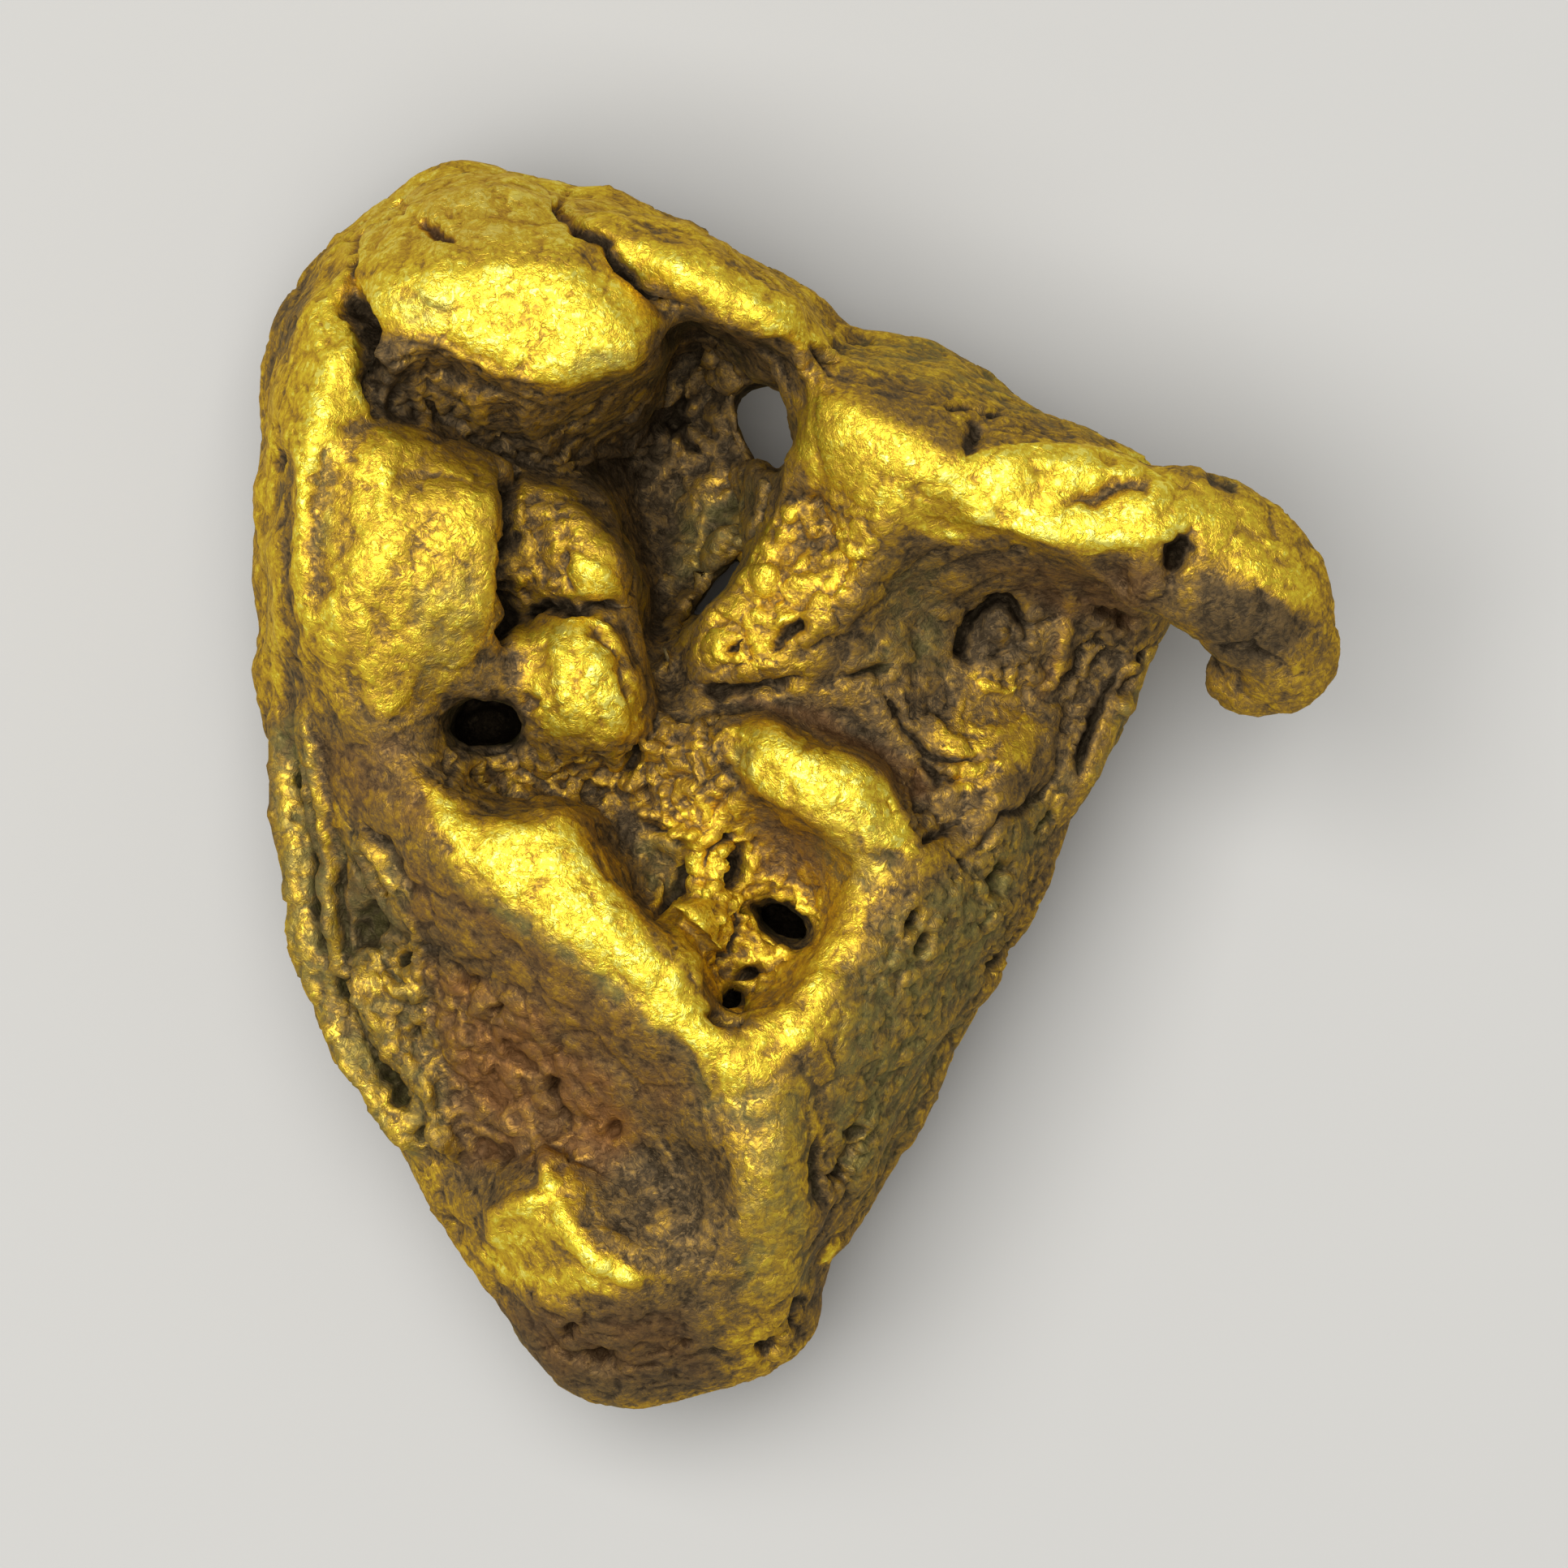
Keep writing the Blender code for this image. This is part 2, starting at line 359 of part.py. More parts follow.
# Pits, grooves and folds carved into the skin: (x, y, z, radius) along each.
PITS = {
    "black_pit": ((-5.55, 1.05, 8.4, 0.5), (-5.5, 1.05, 6, 0.55), (-5.35, 1.05, 4, 0.6)),
    "black_pit_side": ((-4.95, 1.1, 8.4, 0.5), (-4.95, 1.1, 6, 0.5), (-5.05, 1.05, 4, 0.5)),
    "crater_hole": ((-0.4, -2.15, 8, 0.28), (-0.2, -2.35, 5.5, 0.42), (-0.1, -2.4, 3, 0.42)),
    "crater_hole_side": ((0.25, -2.65, 8, 0.3), (0.2, -2.6, 5.5, 0.4), (0.1, -2.5, 3.4, 0.4)),
    "crater_corner": ((-0.95, -3.8, 8, 0.3), (-0.85, -3.7, 6, 0.35), (-0.8, -3.6, 4.8, 0.3)),
    "crater_gap": ((-0.85, -1, 8, 0.2), (-0.75, -1.45, 7, 0.24), (-0.75, -1.85, 6, 0.22)),
    "hook_notch": ((7, 2.15, 9, 0.25), (7.2, 1.95, 5, 0.3), (7.2, 1.85, 0, 0.35)),
    "arm_notch": ((7.1, 4.1, 9, 0.2), (6.9, 3.8, 8.2, 0.3), (6.75, 3.5, 7.2, 0.3)),
    "brow_crevice": ((1.05, 8, 8.6, 0.25), (0.7, 7.55, 7.2, 0.3), (0.25, 7.3, 6, 0.25)),
    "leaf_groove": (
        (-8.45, 0.25, 5.6, 0.2), (-8.25, -0.8, 5.3, 0.22), (-8.15, -2.15, 5.1, 0.22),
        (-8, -3.25, 5, 0.18),
    ),
    "second_groove": (
        (-7.4, -1.3, 6.9, 0.16), (-7.1, -1.95, 6.4, 0.28), (-7.15, -2.5, 6, 0.26),
        (-7.5, -3, 5.4, 0.24), (-7.55, -3.7, 5.1, 0.22),
    ),
    "face_pit": (
        (3.9, 3.3, 6.3, 0.22), (3.4, 3.1, 6.3, 0.3), (3.2, 2.6, 6.1, 0.3), (3.3, 2.1, 6.1, 0.22),
    ),
    "oval_pit": ((2.3, -2.25, 7.5, 0.26), (2.35, -2.9, 7.3, 0.28)),
    "foot_pit": ((-3.85, -9.65, 5.9, 0.26), (-3.35, -10.15, 5.4, 0.36)),
    "toe_pit": ((0.15, -9.2, 6, 0.25), (-0.25, -9.9, 5.4, 0.3)),
}
FOLDS = {
    "left_fold": (
        (-9.7, 6.6, 3.4, 0.5), (-9.9, 4.6, 2.9, 0.6), (-9.7, 2.2, 2.7, 0.55), (-9.2, 0.4, 2.9, 0.35),
    ),
    "left_dent": ((-9.95, 7.2, 6.4, 0.35), (-10, 5.6, 5.6, 0.5), (-9.95, 4.4, 5.9, 0.35)),
    "left_split": ((-9.2, 9.1, 6.2, 0.25), (-9.7, 8.4, 4.9, 0.4), (-9.75, 7.9, 3.4, 0.35)),
    "crown_fold": ((-5.9, 11.2, 4.9, 0.4), (-4.2, 11.2, 4.4, 0.55), (-2.4, 10.7, 4.2, 0.45)),
    "crown_split": ((-3.8, 10.35, 7.4, 0.2), (-3.6, 10.75, 6, 0.35), (-3.5, 10.9, 4.4, 0.4)),
    "brow_dent": ((-1.6, 10.5, 6.2, 0.45), (-0.4, 9.9, 5.4, 0.55), (0.5, 9.2, 5.7, 0.4)),
    "right_fold": (
        (5.4, -1.6, 2.6, 0.35), (4.4, -3.8, 2.5, 0.55), (3, -6.2, 2.7, 0.5), (1.9, -7.9, 3.2, 0.35),
    ),
    "right_dent": ((5.1, -2, 4.6, 0.3), (4.4, -3.3, 4, 0.45), (3.9, -4.2, 4.2, 0.35)),
    "right_split": ((2.7, -6.2, 4.9, 0.3), (2.5, -6.9, 3.9, 0.4), (1.9, -7.6, 3.5, 0.35)),
    "foot_fold": ((-5.6, -9.3, 3, 0.35), (-4.6, -10.8, 3.1, 0.5), (-3, -11.4, 3.3, 0.4)),
    "foot_dent": ((-6.4, -7.9, 3.6, 0.35), (-5.9, -8.9, 3.9, 0.5), (-5.4, -9.7, 4.4, 0.35)),
    "arm_fold": ((2.9, 7.9, 4.2, 0.35), (4.6, 7, 4, 0.5), (6.2, 6.1, 4.4, 0.4)),
    "arm_dent": ((1.9, 8.3, 6.1, 0.3), (3.2, 7.9, 5.5, 0.45), (4.4, 7.3, 5.7, 0.35)),
}


def clear_scene():
    for obj in list(bpy.data.objects):
        bpy.data.objects.remove(obj)


def add_object(name, data, collection):
    obj = bpy.data.objects.new(name, data)
    collection.objects.link(obj)
    return obj


def mesh_from(name, edit):
    mesh = bpy.data.meshes.new(name)
    edit.to_mesh(mesh)
    edit.free()
    return mesh


def applied(obj, collection):
    """The object as it is evaluated, with its caps welded, in place of the object."""
    bpy.context.view_layer.update()
    mesh = bpy.data.meshes.new_from_object(obj.evaluated_get(bpy.context.evaluated_depsgraph_get()))
    mesh.transform(obj.matrix_world)
    edit = bmesh.new()
    edit.from_mesh(mesh)
    bmesh.ops.remove_doubles(edit, verts=edit.verts, dist=CAP_WELD * MM)
    name = obj.name
    bpy.data.objects.remove(obj)
    return add_object(name, mesh_from(name, edit), collection)


def lump(name, centre, radii, turn, collection):
    place = Matrix.Translation(Vector(centre) * MM)
    spin = Euler((0, 0, radians(turn))).to_matrix().to_4x4()
    stretch = Matrix.Diagonal((*[radius * MM for radius in radii], 1))
    edit = bmesh.new()
    bmesh.ops.create_icosphere(edit, subdivisions=LUMP_DETAIL, radius=1, matrix=place @ spin @ stretch)
    return add_object(name, mesh_from(name, edit), collection)


def roll(name, points, collection):
    """A round bar of varying radius along a smooth curve."""
    curve = bpy.data.curves.new(name, "CURVE")
    curve.dimensions = "3D"
    curve.bevel_depth = MM
    curve.bevel_resolution = ROLL_DETAIL
    curve.resolution_u = CURVE_DETAIL
    curve.use_fill_caps = True
    spline = curve.splines.new("NURBS")
    spline.points.add(len(points) - 1)
    for point, (x, y, z, radius) in zip(spline.points, points):
        point.co = (x * MM, y * MM, z * MM, 1)
        point.radius = radius
    spline.order_u = CURVE_ORDER
    spline.use_endpoint_u = True
    return applied(add_object(name, curve, collection), collection)


def block(name, outline, low, high, edge, collection):
    """An upright block of a smooth outline, with rounded edges inside that outline."""
    curve = bpy.data.curves.new(name, "CURVE")
    curve.dimensions = "2D"
    curve.fill_mode = "BOTH"
    curve.bevel_depth = edge * MM
    curve.bevel_resolution = ROLL_DETAIL
    curve.offset = -edge * MM
    curve.extrude = ((high - low) / 2 - edge) * MM
    curve.resolution_u = CURVE_DETAIL
    spline = curve.splines.new("NURBS")
    spline.points.add(len(outline) - 1)
    for point, place in zip(spline.points, outline):
        point.co = (place[0] * MM, place[1] * MM, 0, 1)
    spline.order_u = CURVE_ORDER
    spline.use_cyclic_u = True
    obj = add_object(name, curve, collection)
    obj.location.z = (low + high) / 2 * MM
    return applied(obj, collection)


def relief(name, ring, lines, level, collection):
    """The solid between a level and a skin stretched over a ring and the lines inside it."""
    points = list(ring)
    edges = []
    for line in lines:
        first = len(points)
        points += line
        edges += [(first + i, first + i + 1) for i in range(len(line) - 1)]
    plan = [Vector((x, y)) for x, y, z in points]
    border = [list(range(len(ring)))]
    places, _, faces, sources, _, _ = delaunay_2d_cdt(plan, edges, border, 1, LINE_WELD * MM)
    if not all(sources):
        raise ValueError(name + ": two of its lines cross")
    edit = bmesh.new()
    for place, source in zip(places, sources):
        edit.verts.new(Vector((place.x, place.y, points[source[0]][2])) * MM)
    edit.verts.ensure_lookup_table()
    skin = [edit.faces.new([edit.verts[i] for i in face]) for face in faces]
    grown = bmesh.ops.extrude_face_region(edit, geom=skin)
    for vert in (item for item in grown["geom"] if isinstance(item, bmesh.types.BMVert)):
        vert.co.z = level * MM
    bmesh.ops.delete(edit, geom=[vert for vert in edit.verts if not vert.link_faces], context="VERTS")
    bmesh.ops.recalc_face_normals(edit, faces=edit.faces)
    return add_object(name, mesh_from(name, edit), collection)


def fuse(name, pieces, passes, collection):
    """One closed skin around all the pieces, softened by that many smoothing passes."""
    edit = bmesh.new()
    for piece in pieces:
        edit.from_mesh(piece.data)
        bpy.data.objects.remove(piece)
    obj = add_object(name, mesh_from(name, edit), collection)
    remesh = obj.modifiers.new("fuse", "REMESH")
    remesh.mode = "VOXEL"
    remesh.voxel_size = VOXEL * MM
    smooth = obj.modifiers.new("soften", "SMOOTH")
    smooth.factor = SOFTENING
    smooth.iterations = passes
    return applied(obj, collection)


def carve(body, cutter, collection):
    cutter.hide_render = True
    cutter.display_type = "WIRE"
    cut = body.modifiers.new("carve", "BOOLEAN")
    cut.operation = "DIFFERENCE"
    cut.solver = "EXACT"
    cut.object = cutter
    return applied(body, collection)


def lumps(table, collection):
    return [lump(*row, collection) for row in table]


def rolls(table, collection):
    return [roll(name, points, collection) for name, points in table.items()]


def shoulder_ring():
    """The outline moved inwards by SHOULDER_INSET, at the shoulder's height."""
    ring = []
    for i, (x, y, height) in enumerate(OUTLINE):
        before = Vector(OUTLINE[i - 1][:2])
        after = Vector(OUTLINE[(i + 1) % len(OUTLINE)][:2])
        along = (after - before).normalized()
        ring.append((x + along.y * SHOULDER_INSET, y - along.x * SHOULDER_INSET, height))
    return ring


def under_rings():
    """The outline shrunk about its middle, once for each ring of the underside."""
    middle_x, middle_y = UNDER_CENTRE
    rings = []
    for share, height in UNDER_RINGS:
        ring = []
        for x, y, _ in OUTLINE:
            place_x = middle_x + share * (x - middle_x)
            place_y = middle_y + share * (y - middle_y)
            wave = WAVE_HEIGHT * sin(WAVES_ROUND * atan2(y - middle_y, x - middle_x) + height)
            ring.append((place_x, place_y, height + wave + ARM_LIFT * max(0, x - ARM_START)))
        rings.append(ring)
    return rings


def main_mass(forms, cutters):
    lines = list(LINES.values())
    ring = shoulder_ring()
    collar = block("collar", OUTLINE, COLLAR_LOW, COLLAR_HIGH, COLLAR_EDGE, forms)
    body = fuse("nugget", [collar], ROUGH_PASSES, forms)
    body = carve(body, relief("air", ring, lines, RELIEF_TOP, cutters), forms)
    body = fuse("nugget", [body, relief("upper", ring, lines, RELIEF_ROOT, forms)], ROUGH_PASSES, forms)
    rim, *inner = under_rings()
    low_lines = [ring + ring[:1] for ring in inner] + list(UNDER_LINES.values())
    body = carve(body, relief("under", rim, low_lines, UNDER_DROP, cutters), forms)
    return fuse("nugget", [body, *lumps(SWELLS, forms)], SOFT_PASSES, forms)


def with_lobes(body, forms):
    return fuse("nugget", [body, *lumps(LOBES, forms), *rolls(ROLLS, forms)], FIRM_PASSES, forms)


def rippled(body, forms):
    """Slow swells and dips all over, so that no face is quite even."""
    clouds = bpy.data.textures.new("ripple", "CLOUDS")
    clouds.noise_scale = RIPPLE_SIZE * MM
    clouds.noise_depth = RIPPLE_LAYERS
    push = body.modifiers.new("ripple", "DISPLACE")
    push.texture = clouds
    push.texture_coords = "GLOBAL"
    push.strength = RIPPLE_DEPTH * MM
    return applied(body, forms)


def with_pits(body, forms, cutters):
    pieces = rolls(PITS, cutters) + rolls(FOLDS, cutters)
    pieces.append(block("slot", SLOT, HOLE_LOW, HOLE_HIGH, HOLE_EDGE, cutters))
    pieces.append(block("slit", SLIT, HOLE_LOW, HOLE_HIGH, HOLE_EDGE, cutters))
    body = carve(body, fuse("pits", pieces, ROUGH_PASSES, cutters), forms)
    return fuse("nugget", [body], RIM_PASSES, forms)


def centred(body):
    """Moves the middle of the nugget's box over the origin."""
    places = [vert.co for vert in body.data.vertices]
    middle_x = (min(place.x for place in places) + max(place.x for place in places)) / 2
    middle_y = (min(place.y for place in places) + max(place.y for place in places)) / 2
    body.data.transform(Matrix.Translation((-middle_x, -middle_y, 0)))


def worn_flat(body, forms, cutters):
    """Fewer faces, then everything below the rest plane taken off."""
    body.data.calc_loop_triangles()
    fewer = body.modifiers.new("fewer", "DECIMATE")
    fewer.ratio = TRIANGLES / len(body.data.loop_triangles)
    body = applied(body, forms)
    centred(body)
    edit = bmesh.new()
    below = Matrix.Translation((0, 0, -GROUND_SIZE / 2 * MM))
    bmesh.ops.create_cube(edit, size=GROUND_SIZE * MM, matrix=below)
    return carve(body, add_object("ground", mesh_from("ground", edit), cutters), forms)


def gold():
    material = bpy.data.materials.new("gold")
    material.use_nodes = True
    shader = material.node_tree.nodes["Principled BSDF"]
    shader.inputs["Base Color"].default_value = GOLD
    shader.inputs["Metallic"].default_value = 1.0
    shader.inputs["Roughness"].default_value = GOLD_ROUGHNESS
    return material


def main():
    clear_scene()
    forms = bpy.data.collections.new("gold_nugget")
    cutters = bpy.data.collections.new("cutters")
    bpy.context.scene.collection.children.link(forms)
    bpy.context.scene.collection.children.link(cutters)
    body = main_mass(forms, cutters)
    body = with_lobes(body, forms)
    body = rippled(body, forms)
    body = with_pits(body, forms, cutters)
    body = worn_flat(body, forms, cutters)
    body.data.materials.clear()
    body.data.materials.append(gold())
    body.data.shade_smooth()


if __name__ == "__main__":
    main()
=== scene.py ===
"""The looks of the gold nugget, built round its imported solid.

The nugget's fine surface is one mesh: a dense, smoothed copy of the solid, worked with cracks, pits,
ridges, crumb, folds and foil-like flakes. The gold's colours follow its shape and what is painted on it.
Places are millimetres in the row frame: +X right, +Y towards the crown, +Z up from the rest plane. What
is drawn is given as seen from above, and is worked into the upper skin.
"""

import itertools
import math

import bpy
import numpy as np
from mathutils import Matrix, Vector
from mathutils.bvhtree import BVHTree
from mathutils.kdtree import KDTree


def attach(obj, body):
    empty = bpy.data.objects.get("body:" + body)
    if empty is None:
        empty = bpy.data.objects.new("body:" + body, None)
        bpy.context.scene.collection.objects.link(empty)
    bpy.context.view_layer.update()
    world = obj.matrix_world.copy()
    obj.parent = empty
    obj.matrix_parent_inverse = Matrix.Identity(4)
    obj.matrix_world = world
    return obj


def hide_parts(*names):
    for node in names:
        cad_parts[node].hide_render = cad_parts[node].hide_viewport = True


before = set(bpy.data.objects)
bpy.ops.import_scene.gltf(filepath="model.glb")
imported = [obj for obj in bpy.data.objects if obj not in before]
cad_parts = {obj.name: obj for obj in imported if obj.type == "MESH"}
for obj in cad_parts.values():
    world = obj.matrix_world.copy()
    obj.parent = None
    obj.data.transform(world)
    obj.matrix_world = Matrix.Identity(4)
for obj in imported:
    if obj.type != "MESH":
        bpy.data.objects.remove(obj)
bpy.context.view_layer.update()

MM = 0.001
SEED = 11

# The fine mesh
DENSE_VOXEL = 0.072
TRIANGLES = 196000
FACET_PASSES = 20
NORMAL_PASSES = 3

# The camera, in millimetres
CAMERA_X = -0.084
CAMERA_Y = 0.027
FRAME_WIDTH = 27.6
FOCUS_HEIGHT = 5.0
LENS = 400.0
SENSOR = 36.0

# The light and the floor, in metres
SOFTBOX_SIZE = 0.42
SOFTBOX_PLACE = (-0.10, 0.02, 0.5)
SOFTBOX_POWER = 4.2
ROOM_COLOUR = (0.86, 0.84, 0.80, 1)
ROOM_STRENGTH = 0.35
FLOOR_SIZE = 3.0
FLOOR_DROP = 0.00001
FLOOR_COLOUR = (0.42, 0.415, 0.40, 1.0)
FLOOR_ROUGHNESS = 0.85


# ---- what is worked into the surface

# Outlines that more than one table uses.
CAVITY_WALL_RING = ((-1.95, 5.25), (-1.1, 5.7), (-0.45, 5.25), (-0.65, 3.95), (-1.3, 3.2), (-2.1, 3.45))
CRATER_SLOPE_RING = ((-0.65, -0.3), (0.7, -0.75), (0.75, -1.9), (-0.6, -1.65))
LENS_RING = ((1.2, 0.85), (1.8, 0.7), (2.35, 0.35), (2.6, -0.05), (2.05, -0.35), (1.55, 0.15))

# Cracks and grooves: (half width, depth, points).
CRACKS = dict(
    left_nick=(0.14, 0.4, (-6.75, 10.35), (-6.85, 10.2), (-6.95, 10.05)),
    left_crack=(0.08, 0.3, (-6.85, 10.15), (-7.2, 10), (-7.5, 9.8), (-7.65, 9.4), (-7.65, 8.85)),
    left_gap=(0.2, 0.8, (-7.65, 8.85), (-7.65, 8.45), (-7.45, 8.15), (-7.3, 7.75), (-7.25, 7.1),
        (-7.2, 6.5)),
    crown_nick=(0.12, 0.35, (-6.55, 9.9), (-6.3, 9.8), (-6.1, 9.6), (-5.85, 9.45)),
    brow_crack=(0.11, 0.45, (-3.9, 10.45), (-4.05, 10), (-3.8, 9.75), (-3.6, 9.6), (-3.25, 9.45),
        (-3.05, 9.25), (-2.8, 8.85), (-2.5, 8.55), (-1.95, 8.4)),
    brow_corner=(0.22, 0.5, (1.05, 7.75), (0.7, 7.55), (0.4, 7.35)),
    lobe_side=(0.13, 0.6, (-5.15, 5.65), (-4.85, 5.25), (-4.75, 4.4), (-4.85, 3.6), (-4.95, 2.95)),
    plug_crack=(0.12, 0.5, (-4.75, 3), (-4.15, 3.15), (-3.6, 3.1), (-2.9, 3.15)),
    plug_fold=(0.1, 0.16, (-3.55, 2.8), (-3.15, 2.45), (-2.85, 1.9), (-2.75, 1.4)),
    plug_step=(0.12, 0.18, (-3.8, 4.15), (-3.9, 3.75), (-3.7, 3.25)),
    plug_nick=(0.1, 0.25, (-4.65, 1.5), (-4.3, 1.35)),
    rim_dip=(0.24, 0.14, (-8.05, 5.95), (-8.15, 4.95), (-8.2, 3.85), (-8.15, 2.85)),
    rim_line=(0.12, 0.1, (-8.7, 5.85), (-8.7, 4.7), (-8.65, 3.25), (-8.65, 1.7)),
    rim_nick=(0.1, 0.3, (-8.85, 6.4), (-8.85, 5.95), (-9, 5.4)),
    arm_crevice=(0.1, 0.3, (2.65, 6.6), (3.1, 6.55), (3.45, 6.45), (3.85, 6.4)),
    arm_notch_line=(0.16, 0.3, (3.35, 6.4), (3.2, 6.05), (3.1, 5.7)),
    arm_notch=(0.26, 0.5, (7, 4.35), (6.8, 4.1), (6.65, 3.65)),
    arm_band=(0.17, 0.24, (4.8, 4.9), (5.35, 5), (5.85, 5.2), (6.45, 5.25)),
    arm_nick=(0.1, 0.2, (7.25, 5.4), (7.55, 5.25), (7.85, 5.1)),
    slot_line=(0.08, 0.35, (-0.4, 5.55), (-0.45, 5.1), (-0.65, 4.55), (-0.9, 4.05)),
    slit=(0.11, 0.6, (-0.9, 4.05), (-1.15, 3.75), (-1.55, 3.3), (-1.9, 2.75)),
    cavity_fold=(0.13, 0.35, (-1.75, 7.1), (-1.95, 6.55), (-1.8, 6.05), (-1.45, 5.85)),
    cavity_step=(0.12, 0.25, (-0.95, 5.25), (-1.3, 4.7), (-1.65, 3.95)),
    flank_slit=(0.13, 0.5, (-0.3, 2.35), (-0.05, 2.65), (0.3, 2.9)),
    face_crack=(0.1, 0.35, (0.95, 1.9), (1.35, 1.95), (1.8, 2.15)),
    face_run=(0.08, 0.32, (1.6, 1.6), (1.9, 1.2), (2.2, 0.8), (2.55, 0.5), (2.95, 0.45), (3.4, 0.55)),
    face_pit=(0.13, 0.45, (3.15, 2.1), (3.05, 2.35), (3.1, 2.7), (3.2, 2.95), (3.4, 3.15), (3.6, 3.25),
        (3.85, 3.2), (4, 3), (4.15, 2.8), (4.15, 2.6)),
    face_pit_low=(0.09, 0.3, (3.5, 2.3), (3.7, 2.25)),
    face_pit_arm=(0.08, 0.2, (4.15, 2.8), (4.45, 2.9), (4.65, 2.95)),
    strip_right=(0.11, 0.25, (5.15, 2.45), (5.05, 2.1), (4.9, 1.8)),
    face_top=(0.1, 0.25, (5.25, 3), (5.5, 3.05), (5.9, 2.9), (6, 2.75)),
    face_side=(0.1, 0.4, (5.85, 2.1), (5.55, 1.6), (5.2, 0.8), (5.1, 0.2)),
    face_rim=(0.07, 0.25, (6.3, 2.45), (6.15, 2.05), (5.9, 1.5)),
    face_edge=(0.1, 0.25, (4.7, 0.25), (4.25, -0.35), (3.75, -0.6), (3.2, -1.2)),
    edge_slit=(0.08, 0.35, (4.7, -0.45), (4.4, -0.85)),
    lens_edge=(0.08, 0.25, (2.25, 0.45), (2.5, 0.25), (2.6, 0)),
    right_slit=(0.15, 0.6, (3.95, -1.4), (3.75, -1.55), (3.5, -1.9)),
    right_slit_low=(0.13, 0.4, (4.05, -2.55), (3.7, -2.9), (3.45, -3.3)),
    crescent_crack=(0.1, 0.3, (2.3, -1), (2.55, -0.85), (2.9, -0.65)),
    flank_foot=(0.13, 0.35, (-1.7, 1.8), (-1.15, 1.65), (-0.45, 1.75), (0.2, 1.85)),
    left_slot=(0.15, 0.5, (-8.6, 0.35), (-8.5, 0), (-8.35, -0.4)),
    left_groove=(0.1, 0.45, (-8.45, -0.25), (-8.3, -0.9), (-8.25, -1.6), (-8.25, -2.3), (-8.15, -3.2)),
    leaf_slit=(0.15, 0.6, (-7.5, -1.2), (-7.35, -1.5), (-7.1, -1.95)),
    leaf_foot=(0.08, 0.25, (-7.75, -1.05), (-7.85, -1.75), (-7.75, -2.6), (-7.8, -3.25)),
    leaf_back=(0.09, 0.22, (-7.45, -0.65), (-7.1, -0.95), (-6.75, -1.35), (-6.5, -1.9)),
    curl_foot=(0.08, 0.28, (-7.6, -3), (-7.65, -3.45), (-7.55, -4.05), (-7.3, -4.75), (-6.9, -5.4)),
    curl_inside=(0.08, 0.25, (-7.15, -3.05), (-6.95, -3.3), (-6.65, -3.45)),
    left_spots=(0.11, 0.35, (-7.9, -3.4), (-7.75, -3.65), (-7.6, -3.55)),
    left_low=(0.12, 0.35, (-7.25, -5.1), (-6.85, -5.3), (-6.75, -5.7)),
    left_cleft=(0.1, 0.3, (-5.9, -3.05), (-5.7, -3.3), (-5.65, -3.65)),
    rust_crack=(0.12, 0.3, (-4.3, -5.05), (-4.05, -5.4), (-3.8, -5.9)),
    rust_line=(0.11, 0.2, (-5, -4.4), (-4.75, -4.75), (-4.35, -5)),
    rust_low=(0.15, 0.25, (-5.55, -6.1), (-5.15, -6.45), (-4.75, -6.55)),
    crater_line=(0.08, 0.35, (-1.55, -1.45), (-1.4, -1.15), (-1.15, -1), (-0.9, -0.85)),
    crater_edge=(0.08, 0.3, (-1.85, -1.3), (-1.9, -1.65), (-2.1, -1.95), (-2.3, -2.25)),
    lump_foot=(0.08, 0.25, (-0.95, -2.05), (-0.9, -2.45), (-1.05, -2.9), (-1.45, -3.15)),
    ledge_line=(0.09, 0.3, (-2.5, -0.65), (-2.25, -0.85), (-1.85, -1.05)),
    toe_slit=(0.14, 0.3, (0.2, -8.9), (0.05, -9.2), (0.15, -9.6)),
    stem_side=(0.12, 0.3, (0.5, -6.15), (0.45, -6.75), (0.5, -7.45)),
)

